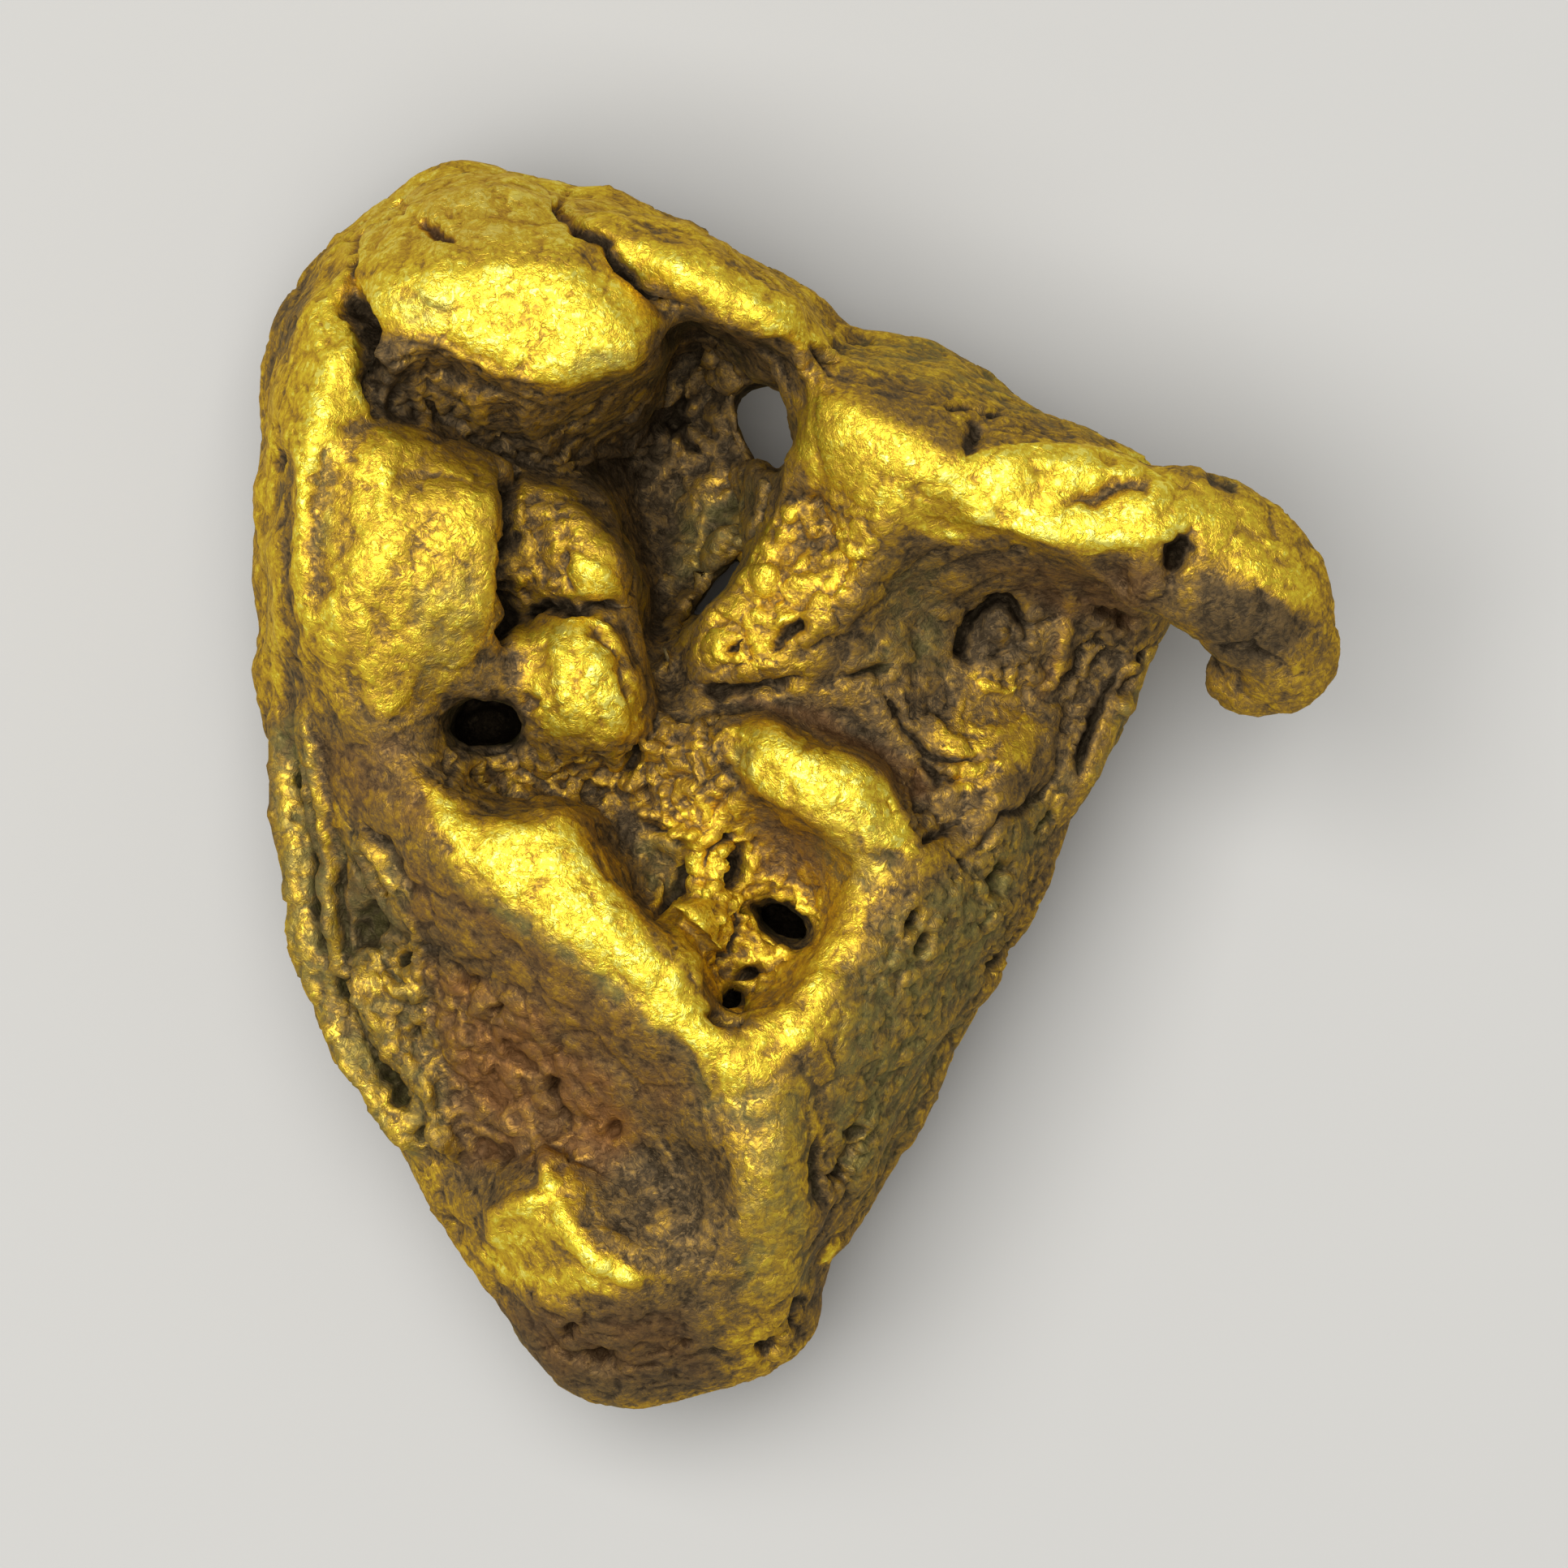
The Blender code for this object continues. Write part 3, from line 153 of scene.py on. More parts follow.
# Raised lines, lips and flakes: (half width, height, points).
RIDGES = dict(
    crown_lip=(0.1, 0.08, (-6.75, 7.85), (-6.1, 7.7), (-5.45, 7.35), (-4.75, 7.1), (-4.05, 6.95)),
    facet_one=(0.09, 0.28, (-6.5, 7.05), (-6.15, 6.85), (-5.9, 6.6)),
    facet_side=(0.09, 0.2, (-6.55, 7.1), (-6.45, 6.6), (-6.35, 6.05)),
    facet_two=(0.1, 0.2, (-5.8, 6.95), (-5.45, 6.8), (-5.25, 6.4)),
    facet_three=(0.12, 0.16, (-4.75, 6.6), (-4.35, 6.1), (-4.05, 5.65)),
    facet_edge=(0.09, 0.2, (-4.15, 5.3), (-3.75, 5.65), (-3.4, 5.9), (-2.75, 5.95)),
    rim_streak=(0.14, 0.1, (-8.45, 6.1), (-8.4, 4.7), (-8.4, 3.25), (-8.45, 1.7)),
    plug_ridge=(0.16, 0.12, (-4.05, 2.5), (-3.9, 1.75), (-3.8, 1.1)),
    plug_edge=(0.08, 0.1, (-3.45, 2.9), (-2.95, 2.45), (-2.7, 1.95), (-2.6, 1.35)),
    bright_bit=(0.13, 0.35, (-2.3, 2), (-2.15, 2.15), (-2, 2.3)),
    cavity_bit=(0.16, 0.3, (-1.9, 7.1), (-1.75, 7.05), (-1.65, 6.9)),
    arm_low_band=(0.15, 0.08, (2.35, 4.7), (3.65, 4.5), (4.8, 4.25), (6.1, 4.3), (6.9, 4.45)),
    face_strip=(0.15, 0.16, (4.9, 3.05), (4.8, 2.6), (4.7, 2.05), (4.4, 1.6)),
    pit_bump=(0.13, 0.3, (3.65, 2.7), (3.8, 2.65)),
    pit_flecks=(0.08, 0.16, (3.3, 1.85), (3.7, 1.65), (4, 1.75)),
    oval_ring=(0.07, 0.2, (5.95, 2.15), (6.15, 2), (6.05, 1.55), (5.65, 1.3)),
    edge_line=(0.06, 0.16, (5.8, 2.05), (5.5, 1.5), (5.2, 0.95), (4.95, 0.4)),
    thin_leaf=(0.1, 0.2, (-8.5, 1.25), (-8.25, 0.25), (-8.15, -0.45), (-8.05, -1.15), (-8, -1.85),
        (-8, -2.55), (-7.9, -3.1)),
    second_leaf=(0.13, 0.2, (-7.45, -0.75), (-7.25, -1.05), (-7, -1.45), (-6.8, -2)),
    leaf_string=(0.08, 0.18, (-6.75, -2.05), (-6.6, -2.25), (-6.45, -2.6), (-6.45, -3.1), (-6.45, -3.5)),
    curl=(0.09, 0.2, (-6.45, -3.55), (-6.8, -3.55), (-7.05, -3.25), (-7.25, -3), (-7.45, -3), (-7.5, -3.25),
        (-7.45, -3.6), (-7.25, -4.1), (-7.05, -4.75)),
    curl_tail=(0.1, 0.13, (-6.4, -5.15), (-6.25, -5.85), (-6, -6.5)),
    curl_bit=(0.1, 0.15, (-7.05, -2.7), (-6.75, -2.7)),
    stem_glint=(0.11, 0.16, (0.5, -8.4), (0.65, -8.15), (0.9, -7.9)),
    outer_strip=(0.14, 0.08, (-8.9, 0.2), (-8.7, -1.35), (-8.5, -3.15), (-8.3, -4.2), (-7.65, -5.05),
        (-6.7, -6.35)),
    y_stem=(0.17, 0.2, (-4.15, -6.35), (-4.2, -6.75), (-4.15, -7.15)),
    y_left=(0.18, 0.16, (-4.15, -7.15), (-4.6, -7.3), (-5.05, -7.5), (-5.25, -8.15)),
    y_right=(0.2, 0.16, (-4.15, -7.15), (-3.85, -7.65), (-3.4, -8.25), (-2.65, -8.55), (-2.25, -8.5)),
    flake=(0.08, 0.25, (-2.65, -0.5), (-2.25, -0.55), (-1.85, -0.85), (-1.45, -0.85)),
    small_flake=(0.07, 0.25, (-2.3, -1.6), (-2.3, -2.15)),
    crater_lump=(0.4, 0.5, (-1.75, -2.2), (-1.5, -2.45), (-1.3, -2.6)),
    crater_bit=(0.1, 0.35, (-0.9, -3.65), (-0.7, -3.5), (-0.55, -3.6)),
    rust_lip=(0.08, 0.14, (-5.45, -4.1), (-5.25, -4.15), (-4.95, -4.1)),
)

# Pits: (place, radius along, radius across, turn in degrees, depth).
PITS = dict(
    hole_mouth=((-5.3, 1.05), 0.78, 0.56, 5, 0.3),
    plug_pit=((-4.95, 2.9), 0.4, 0.22, 80, 1.3),
    small_hole=((-2.75, 0.45), 0.26, 0.18, 60, 1.6),
    flank_hole=((-0.95, 2.45), 0.2, 0.13, 30, 0.4),
    dimple=((0.55, 4.55), 0.75, 0.6, 70, 0.16),
    leaf_hollow=((-7.3, -2.45), 0.55, 0.36, 60, 0.25),
    curl_pit=((-6.75, -3.05), 0.2, 0.13, 20, 0.5),
    leaf_pit=((-6.55, -4.3), 0.18, 0.11, 70, 0.35),
    edge_pit=((-6.85, -5.45), 0.2, 0.14, 40, 0.3),
    low_edge_pit=((-6.45, -6.15), 0.2, 0.14, 60, 0.3),
    rust_pit=((-5.05, -3.85), 0.2, 0.14, 10, 0.35),
    rust_pit_up=((-5.5, -3.45), 0.14, 0.1, 10, 0.25),
    rust_pit_low=((-4.15, -5.3), 0.22, 0.15, 60, 0.35),
    rust_pit_right=((-3.05, -6), 0.26, 0.14, 60, 0.3),
    foot_pit=((-3.35, -10.1), 0.36, 0.2, -10, 0.4),
    foot_pit_up=((-3.85, -9.55), 0.2, 0.18, 0, 0.35),
    foot_spot=((-1.75, -9.75), 0.18, 0.14, 0, 0.2),
    toe_pit=((-0.4, -9.9), 0.3, 0.22, 20, 0.35),
    oval_pit=((2.15, -2.35), 0.16, 0.26, -25, 0.5),
    oval_pit_low=((2.35, -2.8), 0.13, 0.24, -25, 0.45),
    ring_pit=((5.9, 1.75), 0.12, 0.3, -25, 0.3),
    side_pit=((3.05, -1.35), 0.12, 0.1, 0, 0.25),
    crater_black=((0, -2.45), 0.55, 0.36, -35, 1.2),
    crater_black_side=((-0.65, -2.15), 0.2, 0.14, 0, 0.7),
    crater_gap=((-0.9, -1.45), 0.2, 0.38, -10, 0.7),
    crater_low=((-1.05, -3.95), 0.36, 0.28, 30, 0.7),
    crater_low_up=((-0.7, -3.3), 0.24, 0.16, 30, 0.5),
    stem_pit=((0.85, -6.75), 0.24, 0.14, 60, 0.35),
    stem_pit_up=((1.15, -6.05), 0.2, 0.14, 30, 0.3),
)

# Crumbly stretches: (grain size, height, outline).
CRUMB = dict(
    shelf=(0.3, 0.22, (-6.1, 0.55), (-5.3, 0.6), (-4.15, 0.75), (-2.6, 0.75), (-2.45, 0.1), (-3.25, -0.65),
        (-4.05, -0.45), (-5.3, -0.6), (-6.15, -0.05)),
    gully=(0.3, 0.26, (-2.45, 1.1), (-1.05, 1.25), (-0.8, 0.25), (-0.95, -0.6), (-1.75, -1.05),
        (-2.6, -0.45), (-3.05, -0.25)),
    crater=(0.22, 0.15, (-1.75, -1.15), (-0.9, -0.75), (0.55, -1.75), (0.55, -2.75), (-0.45, -3.9),
        (-1.3, -4.05), (-2.05, -2.6)),
    flank=(0.32, 0.16, (-1.05, 4.7), (-0.15, 5.25), (1.4, 4.7), (1.55, 3.95), (1.1, 2.95), (-0.3, 1.95),
        (-1.45, 1.95), (-1.6, 2.7)),
    dimple=(0.26, 0.16, (0.2, 5.1), (1.05, 5.05), (1.2, 4.4), (0.85, 3.85), (0.1, 3.95)),
    arm_back=(0.26, 0.12, (2.4, 6.7), (4.05, 6.6), (4.25, 6.1), (3.25, 5.85)),
    face_foot=(0.3, 0.2, (1.55, -0.15), (2.95, 0.6), (3.85, 0.55), (3.1, -0.6), (2.4, -1.15)),
    face_pit=(0.2, 0.14, (3.2, 3.1), (4.35, 2.9), (4.55, 1.55), (3.4, 1.7)),
    face_right=(0.24, 0.12, (5.1, 3.55), (6.4, 3.55), (6.1, 2.4), (5.1, 0.95), (4.55, 0.7), (4.95, 2.1)),
    face=(0.32, 0.1, (1.25, 2.1), (2.95, 1.7), (3.85, 0.95), (2.95, 0.1), (1.7, 1.25)),
    cavity_wall=(0.44, 0.26, *CAVITY_WALL_RING),
    cavity_back=(0.42, 0.22, (-2.45, 7.7), (-1.05, 8.1), (0.25, 7.4), (-0.45, 5.85), (-1.9, 5.4),
        (-3.05, 5.85)),
    plug=(0.3, 0.14, (-4.75, 5.25), (-3.9, 4.95), (-3.6, 4.1), (-3.9, 3.25), (-4.75, 3.25)),
    leaf_low=(0.24, 0.09, (-7.6, -2.6), (-6.15, -2.6), (-5.3, -4.45), (-5.75, -6.6), (-6.75, -6.15),
        (-8.15, -3.75)),
    edge_low=(0.24, 0.07, (-9.15, -0.45), (-8.6, -0.6), (-8.15, -3.9), (-7.3, -5.15), (-5.9, -7.05),
        (-6.45, -7.3), (-8.15, -5.15), (-9.05, -2.6)),
    rust=(0.34, 0.14, (-5.9, -3.3), (-4.15, -3.75), (-3.05, -5.9), (-3.3, -7.15), (-4.75, -6.45),
        (-5.75, -6.15)),
    stem_side=(0.28, 0.15, (0.55, -5.95), (1.95, -5.75), (1.25, -7.6), (0.55, -8.15)),
    toe=(0.26, 0.08, (-0.6, -9.3), (0.4, -8.9), (0.45, -9.75), (-0.15, -10.3)),
    right_face=(0.2, 0.06, (1.25, -3.3), (2.25, -1.6), (4.1, -0.45), (5.1, 0.4), (4.7, -1.75),
        (2.95, -4.75), (1.55, -7.3), (0.85, -6.15)),
    right_low=(0.28, 0.18, (3.1, -2.15), (4.25, -1.6), (4.25, -2.75), (3.55, -3.75)),
    bottom=(0.4, 0.08, (-4.75, -8.75), (-2.15, -9.05), (-1.05, -10.45), (-3.05, -10.9), (-4.45, -10.3)),
    under_crown=(0.42, 0.2, (-7.3, 7.7), (-5.9, 7.45), (-4.05, 6.7), (-2.45, 7.2), (-2.45, 6.4),
        (-3.75, 5.7), (-5.05, 5.7), (-7.05, 6.45)),
)

# Tones of the upper skin, from 0 for soot to 1 for polished lemon: (soft edge, tone, share, outline).
# They hold the gold's own polish and stains, and also painted light and shade: painted highlights on
# the shine and glint patches, and painted shade under the crown, in the cavity, hole and pits and on
# slopes that face away.
TONES = dict(
    crown_back=(0.3, 0.9, 0.95, (-8.25, 9.1), (-7.75, 10.25), (-6.75, 10.9), (-5.3, 11.1), (-3.9, 10.9),
        (-2.75, 10.35), (-3.6, 9.25), (-5.3, 9.15), (-7.3, 8.95)),
    crown_bright=(0.16, 0.87, 0.95, (-7.65, 8.8), (-6.75, 9.05), (-5.6, 9.15), (-4.15, 9.1), (-3.05, 8.9),
        (-2.25, 8.1), (-2.3, 7.7), (-2.75, 7.15), (-3.65, 6.9), (-4.35, 6.95), (-5.05, 7.2), (-5.6, 7.4),
        (-6.1, 7.75), (-6.75, 7.9), (-7.4, 8)),
    crown_corner=(0.25, 0.78, 0.7, (-3.3, 8.85), (-2.8, 8.75), (-2.3, 8.05), (-2.35, 7.55), (-2.9, 7.25),
        (-3.4, 7.55)),
    crown_shine=(0.25, 0.84, 0.7, (-5.55, 10.9), (-4.95, 10.95), (-4.3, 10.85), (-4.45, 10.5),
        (-5.3, 10.55)),
    brow_back=(0.25, 0.76, 0.85, (-3.65, 10.4), (-2.45, 10.4), (-1.05, 9.75), (0.4, 8.85), (1.1, 7.75),
        (0.6, 7.75), (-0.6, 8.85), (-2.15, 9.55), (-3.3, 9.65)),
    brow_bright=(0.16, 0.84, 0.9, (-3.4, 9.45), (-2.45, 9.55), (-1.3, 9.2), (-0.15, 8.6), (0.85, 7.7),
        (0.2, 7.5), (-1.05, 8.1), (-1.85, 8.5), (-2.6, 8.65)),
    rim=(0.22, 0.86, 0.9, (-8.7, 7.85), (-8.15, 8.95), (-7.7, 8.9), (-7.75, 8.3), (-7.25, 7.7), (-7.2, 6.4),
        (-7.6, 6.1), (-7.65, 5.25), (-7.75, 3.85), (-7.65, 1.55), (-8.4, 1.55), (-8.7, 3.55), (-8.8, 6.1)),
    rim_outer=(0.3, 0.8, 0.85, (-9.6, 5.85), (-9.05, 7.7), (-8.7, 7.7), (-8.8, 5.85), (-8.7, 1.25),
        (-9.3, 1.25)),
    lobe=(0.16, 0.71, 0.9, (-7.6, 6.1), (-7.05, 6.35), (-6.45, 6.3), (-6.05, 5.8), (-5.25, 5.75),
        (-4.95, 4.7), (-5.05, 2.75), (-5.9, 1.55), (-6.6, 1.1), (-7.6, 1.4), (-7.75, 3.85)),
    lobe_shine=(0.25, 0.82, 0.5, (-7.45, 6.1), (-6.9, 6.2), (-6.75, 4.7), (-7.15, 2.7), (-7.6, 2.4),
        (-7.6, 4.7)),
    rim_low=(0.3, 0.55, 0.8, (-8.85, 2.7), (-7.75, 2.55), (-7.6, 0.95), (-8.55, 0.9)),
    left_brown=(0.3, 0.42, 0.9, (-8.75, 0.95), (-7.6, 1.2), (-6.55, 0.95), (-6.1, 0.1), (-5.9, -1.15),
        (-6.75, -1.45), (-7.75, -0.45), (-8.5, 0.1)),
    # Painted shade on the underside wall of the crown, where it turns down into the cavity.
    under_crown=(0.12, 0.37, 0.95, (-7.35, 7.9), (-6.75, 7.85), (-6.1, 7.65), (-5.05, 7.1), (-3.6, 6.8),
        (-2.4, 7.1), (-2.45, 6.4), (-3.6, 5.75), (-4.1, 5.25), (-4.95, 5.65), (-5.9, 5.85), (-6.3, 6.45),
        (-7.2, 6.5)),
    # Painted shade in the deepest undercut below the crown's left.
    under_crown_shade=(0.1, 0.2, 0.9, (-7.35, 7.85), (-6.75, 7.75), (-6.55, 7.1), (-6.45, 6.25), (-7.15, 6.45)),
    facet=(0.07, 0.42, 0.85, (-6.55, 7.05), (-5.9, 6.7), (-6.35, 6)),
    facet_bits=(0.1, 0.52, 0.8, (-5.95, 6.75), (-5.25, 6.85), (-5.2, 6.3), (-5.75, 6.25)),
    # Painted shade on the row of facets below the crown.
    facet_row_shade=(0.15, 0.26, 0.8, (-5.9, 6.25), (-4.75, 6.25), (-3.9, 5.85), (-4.1, 5.25), (-4.95, 5.65)),
    # Painted shade in the cavity.
    cavity=(0.15, 0.3, 0.95, (-2.45, 7.7), (-1.85, 8.35), (0.4, 7.45), (-0.15, 7.1), (-0.4, 5.4),
        (-1.05, 3.85), (-1.95, 2.75), (-2.75, 3.55), (-3.9, 5.05), (-3.6, 5.7), (-2.45, 6.4)),
    # Painted shade in the deepest corner of the cavity.
    cavity_corner_shade=(0.15, 0.14, 0.9, (-2.45, 6.85), (-2.05, 6.4), (-2.45, 5.4), (-3.3, 5.1), (-3.9, 5.25),
        (-3.3, 5.85)),
    cavity_wall=(0.25, 0.4, 0.9, *CAVITY_WALL_RING),
    upper_plug=(0.14, 0.54, 0.95, (-4.8, 5.4), (-3.9, 5.3), (-3.25, 4.7), (-2.85, 3.85), (-2.85, 3.1),
        (-4.75, 3), (-5, 4.1)),
    upper_plug_bright=(0.15, 0.86, 0.9, (-3.7, 4.1), (-3, 3.95), (-2.85, 3.25), (-3.9, 3.15),
        (-3.85, 3.85)),
    lower_plug=(0.15, 0.86, 0.95, (-4.8, 2.75), (-3.9, 3), (-3.25, 2.95), (-2.55, 1.7), (-2.55, 0.95),
        (-3.05, 0.7), (-4.2, 0.75), (-4.6, 1.55)),
    # Painted shade in the deep hole.
    hole=(0.12, 0.22, 1, (-6.15, 1.5), (-5.3, 1.7), (-4.55, 1.4), (-4.65, 0.5), (-5.75, 0.45)),
    shelf=(0.2, 0.5, 0.8, (-6.15, 0.35), (-4.75, 0.6), (-3.05, 0.7), (-1.6, 1.25), (-1.05, 0.95),
        (-1.05, -0.3), (-2.05, -0.6), (-3.25, -0.6), (-4.75, -0.65)),
    v_left=(0.16, 0.88, 0.95, (-6.55, 0.25), (-5.3, -0.65), (-4.6, -0.6), (-3.95, -0.5), (-3.55, -0.8),
        (-3.25, -1.3), (-2.4, -2.5), (-1.55, -3.6), (-1.05, -4.3), (-1.2, -4.9), (-1.95, -4.55),
        (-2.9, -3.55), (-3.65, -3.05), (-4.35, -2.5), (-5.3, -1.75), (-6.15, -0.75)),
    v_foot=(0.25, 0.84, 0.85, (-1.95, -4.2), (-1.05, -4.4), (-0.25, -4.1), (0.25, -4.2), (-0.3, -5.15),
        (-0.95, -5.75), (-1.55, -5.25)),
    v_right=(0.2, 0.74, 0.85, (-0.6, -4), (0.2, -3.75), (0.5, -2.95), (0.8, -2.65), (1.2, -2.8),
        (0.9, -3.65), (0.4, -4.45), (-0.45, -4.9)),
    # Darker on the slope that faces down and left: partly its brown stain, partly painted shade.
    brown_slope=(0.22, 0.41, 0.95, (-6.75, -0.9), (-5.9, -1.35), (-5.3, -1.85), (-4.35, -2.6),
        (-2.9, -3.65), (-1.95, -4.7), (-1.25, -5.15), (-1.6, -6.15), (-3.05, -4.9), (-4.75, -3.55),
        (-6.15, -2.6), (-7.05, -1.6)),
    rust=(0.3, 0.37, 0.9, (-6.45, -2.9), (-4.75, -3.3), (-3.05, -4.75), (-1.9, -6.05), (-1.6, -7.6),
        (-3.05, -7.6), (-3.9, -6.75), (-4.45, -6.75), (-5.15, -7.3), (-5.75, -7.3), (-6.1, -5.3)),
    left_face=(0.3, 0.45, 0.7, (-8.15, -0.6), (-7.3, -0.6), (-6.45, -1.9), (-6.15, -3.3), (-5.6, -7.3),
        (-6.75, -6.75), (-7.75, -5.15), (-8.3, -3.05)),
    left_edge=(0.2, 0.58, 0.8, (-9.15, 0.55), (-8.75, 0.25), (-8.45, -1.3), (-8.3, -3.15), (-7.6, -4.6),
        (-6.45, -6.05), (-5.95, -7.3), (-6.45, -7.3), (-8.15, -5.15), (-8.95, -2.6)),
    left_hollow=(0.1, 0.24, 0.9, (-8.7, 0.4), (-8.4, 0.35), (-8.15, -1.15), (-8.15, -3.15), (-8.35, -3.15),
        (-8.4, -1.15)),
    leaf=(0.08, 0.6, 0.9, (-8.6, 1.4), (-8.4, 1.4), (-8, -0.45), (-7.9, -1.9), (-7.85, -3.15),
        (-8.05, -3.15), (-8.15, -1.3)),
    leaf_hollow=(0.14, 0.24, 0.9, (-7.75, -1.05), (-7.5, -1.15), (-6.95, -2), (-6.7, -2.75), (-7.6, -3.05),
        (-7.9, -3.3)),
    second_leaf=(0.1, 0.54, 0.9, (-7.5, -0.65), (-6.85, -1.3), (-6.65, -2.1), (-6.85, -2.15), (-7.3, -1.3)),
    curl=(0.12, 0.62, 0.85, (-7.5, -2.9), (-7.15, -2.9), (-6.75, -3.45), (-6.4, -3.4), (-6.35, -3.7),
        (-7.05, -3.75), (-6.9, -4.75), (-7.1, -4.8), (-7.55, -3.6)),
    y_bright=(0.25, 0.92, 0.95, (-5.35, -8.25), (-5.25, -7.55), (-4.8, -7.25), (-4.35, -6.95),
        (-4.15, -6.4), (-3.95, -7.05), (-3.4, -8.1), (-2.6, -8.4), (-2.15, -8.65), (-3.05, -8.9),
        (-4.05, -8.95), (-5.05, -8.8)),
    y_hollow=(0.2, 0.46, 0.6, (-4.35, -7.6), (-4.05, -7.6), (-3.6, -8.3), (-3.9, -8.75), (-4.75, -8.45)),
    bottom=(0.35, 0.24, 0.9, (-5.45, -9.05), (-3.9, -9.1), (-1.75, -8.9), (-1.05, -9.6), (-1.15, -10.6),
        (-3.05, -10.95), (-4.6, -10.45)),
    stem=(0.25, 0.55, 0.9, (-0.95, -5.3), (0.4, -4.75), (0.45, -6.75), (0.35, -8.9), (-0.6, -9.3),
        (-0.95, -7.15)),
    stem_glint=(0.08, 0.88, 0.9, (0.45, -8.45), (0.55, -8.15), (0.85, -7.75), (1, -7.9), (0.7, -8.4)),
    stem_left=(0.25, 0.35, 0.9, (-2.45, -6.15), (-1.3, -5.45), (-1, -7.05), (-0.8, -9.6), (-1.75, -9.05),
        (-2.45, -7.6)),
    # Darker on the face that slopes down and right: partly its olive patina, partly painted shade.
    right_face=(0.3, 0.39, 0.9, (0.9, -3.3), (1.95, -1.75), (3.85, -0.45), (5.1, 0.55), (6.1, 1.95),
        (5.25, -0.45), (2.95, -4.9), (1.4, -7.9), (0.6, -8.05), (0.55, -5.15), (1.25, -4.15)),
    crescent=(0.12, 0.86, 0.95, (-1.15, 0.95), (-0.5, 1.15), (0.15, 0.95), (0.95, 0.65), (1.65, 0.15),
        (2.05, -0.6), (2.25, -1.2), (1.5, -1.1), (0.7, -0.65), (-0.05, -0.35), (-0.6, -0.1), (-1.05, 0.4)),
    crater=(0.2, 0.76, 0.85, (-2.75, -0.9), (-1.6, -0.25), (-0.65, -0.15), (0.7, -0.65), (1.95, -1.45),
        (1.2, -2.75), (0.45, -3.75), (-0.95, -4.1), (-1.6, -3.45), (-2.45, -2.3)),
    crater_slope=(0.2, 0.5, 0.8, *CRATER_SLOPE_RING),
    crater_facet=(0.12, 0.38, 0.85, (-2.65, -0.65), (-1.85, -1.05), (-1.95, -1.85), (-2.3, -1.95),
        (-2.75, -1.3)),
    crater_bump=(0.2, 0.78, 0.9, (-2.05, -1.9), (-1.3, -1.8), (-0.95, -2.3), (-1.15, -2.9), (-1.9, -2.8)),
    arm_back=(0.2, 0.58, 0.9, (0.4, 7.25), (0.7, 8.1), (2.55, 8.4), (6.1, 7.1), (8.55, 5.55), (9.7, 3.85),
        (8.5, 4.45), (7, 5.5), (5.55, 6), (4.4, 6.15), (2.95, 6.85)),
    arm_bright=(0.2, 0.8, 0.9, (0.2, 6.95), (1.15, 6.75), (1.95, 6.3), (2.95, 5.6), (3.1, 5.25),
        (2.35, 4.8), (1.55, 4.6), (0.4, 4.85), (0.05, 5.85)),
    arm_ridge=(0.12, 0.88, 0.95, (2.55, 5.4), (3.25, 5.9), (4.4, 6.05), (6.1, 5.9), (7.1, 5.25),
        (7.25, 4.55), (6.65, 4.3), (5.85, 3.95), (5.05, 4), (3.65, 4.4), (2.65, 4.15), (1.95, 4.6)),
    # Darker on the face that slopes away below the arm: partly its brown crust, partly painted shade.
    face=(0.15, 0.34, 0.95, (1.55, 4.05), (2.65, 4.05), (3.65, 4.3), (5.05, 3.9), (5.85, 3.85),
        (6.65, 3.95), (6.9, 2.85), (6.2, 2.4), (5.35, 0.55), (4.1, -0.45), (2.95, -1.05), (2.1, 0.1),
        (1.25, 1.25), (0.4, 1.8), (0.85, 2.55), (1.3, 3.3)),
    face_upper_left=(0.25, 0.46, 0.8, (1.55, 3.95), (2.85, 4.05), (2.95, 3.25), (1.95, 2.55), (1.1, 2.4)),
    face_mid=(0.25, 0.64, 0.85, (3.2, 1.95), (4.1, 1.9), (4.55, 1.1), (4.25, 0.25), (2.95, 0.1),
        (2.55, 0.95)),
    # Painted shade on the steepest part of the slope below the arm.
    face_slope_shade=(0.2, 0.24, 0.85, (5.2, 3.65), (6.4, 3.65), (6.25, 2.7), (5.95, 2.4), (5.4, 2.55),
        (5.05, 2.95)),
    # Painted shade in the pit.
    pit_shade=(0.12, 0.17, 0.95, (3.05, 2.1), (3, 2.7), (3.3, 3.15), (3.6, 3.4), (3.95, 3.15), (4.25, 2.85),
        (4.15, 2.4), (3.75, 2.15)),
    pit_bump=(0.1, 0.44, 0.9, (3.6, 2.85), (3.85, 2.85), (3.95, 2.5), (3.7, 2.4)),
    tan_strip=(0.12, 0.5, 0.9, (4.75, 3.1), (5.05, 3.1), (4.95, 2.4), (4.75, 1.85), (4.45, 1.5),
        (4.25, 1.6), (4.55, 2.1), (4.7, 2.6)),
    edge_groove=(0.1, 0.2, 0.85, (5.95, 2.25), (5.75, 1.7), (5.35, 0.9), (5.15, 0.1), (4.95, 0.2),
        (5.2, 0.95), (5.5, 1.7), (5.75, 2.15)),
    edge_rim=(0.12, 0.5, 0.8, (6.65, 2.45), (6, 1.05), (5.75, 0.5), (5.25, -0.35), (4.85, -1.6),
        (4.65, -1.55), (5, -0.25), (5.5, 0.6), (5.85, 1.3), (6.35, 2.4)),
    lens=(0.12, 0.33, 0.9, *LENS_RING),
    face_flecks=(0.1, 0.72, 0.8, (3.25, 1.9), (4, 1.8), (3.9, 1.5), (3.35, 1.55)),
    face_patch=(0.15, 0.8, 0.8, (2.8, 0.35), (3.5, 0.45), (3.55, -0.05), (2.9, -0.15)),
    dimple=(0.25, 0.45, 0.75, (0.2, 5.05), (0.9, 5.1), (1.1, 4.4), (0.85, 3.75), (0.25, 3.95)),
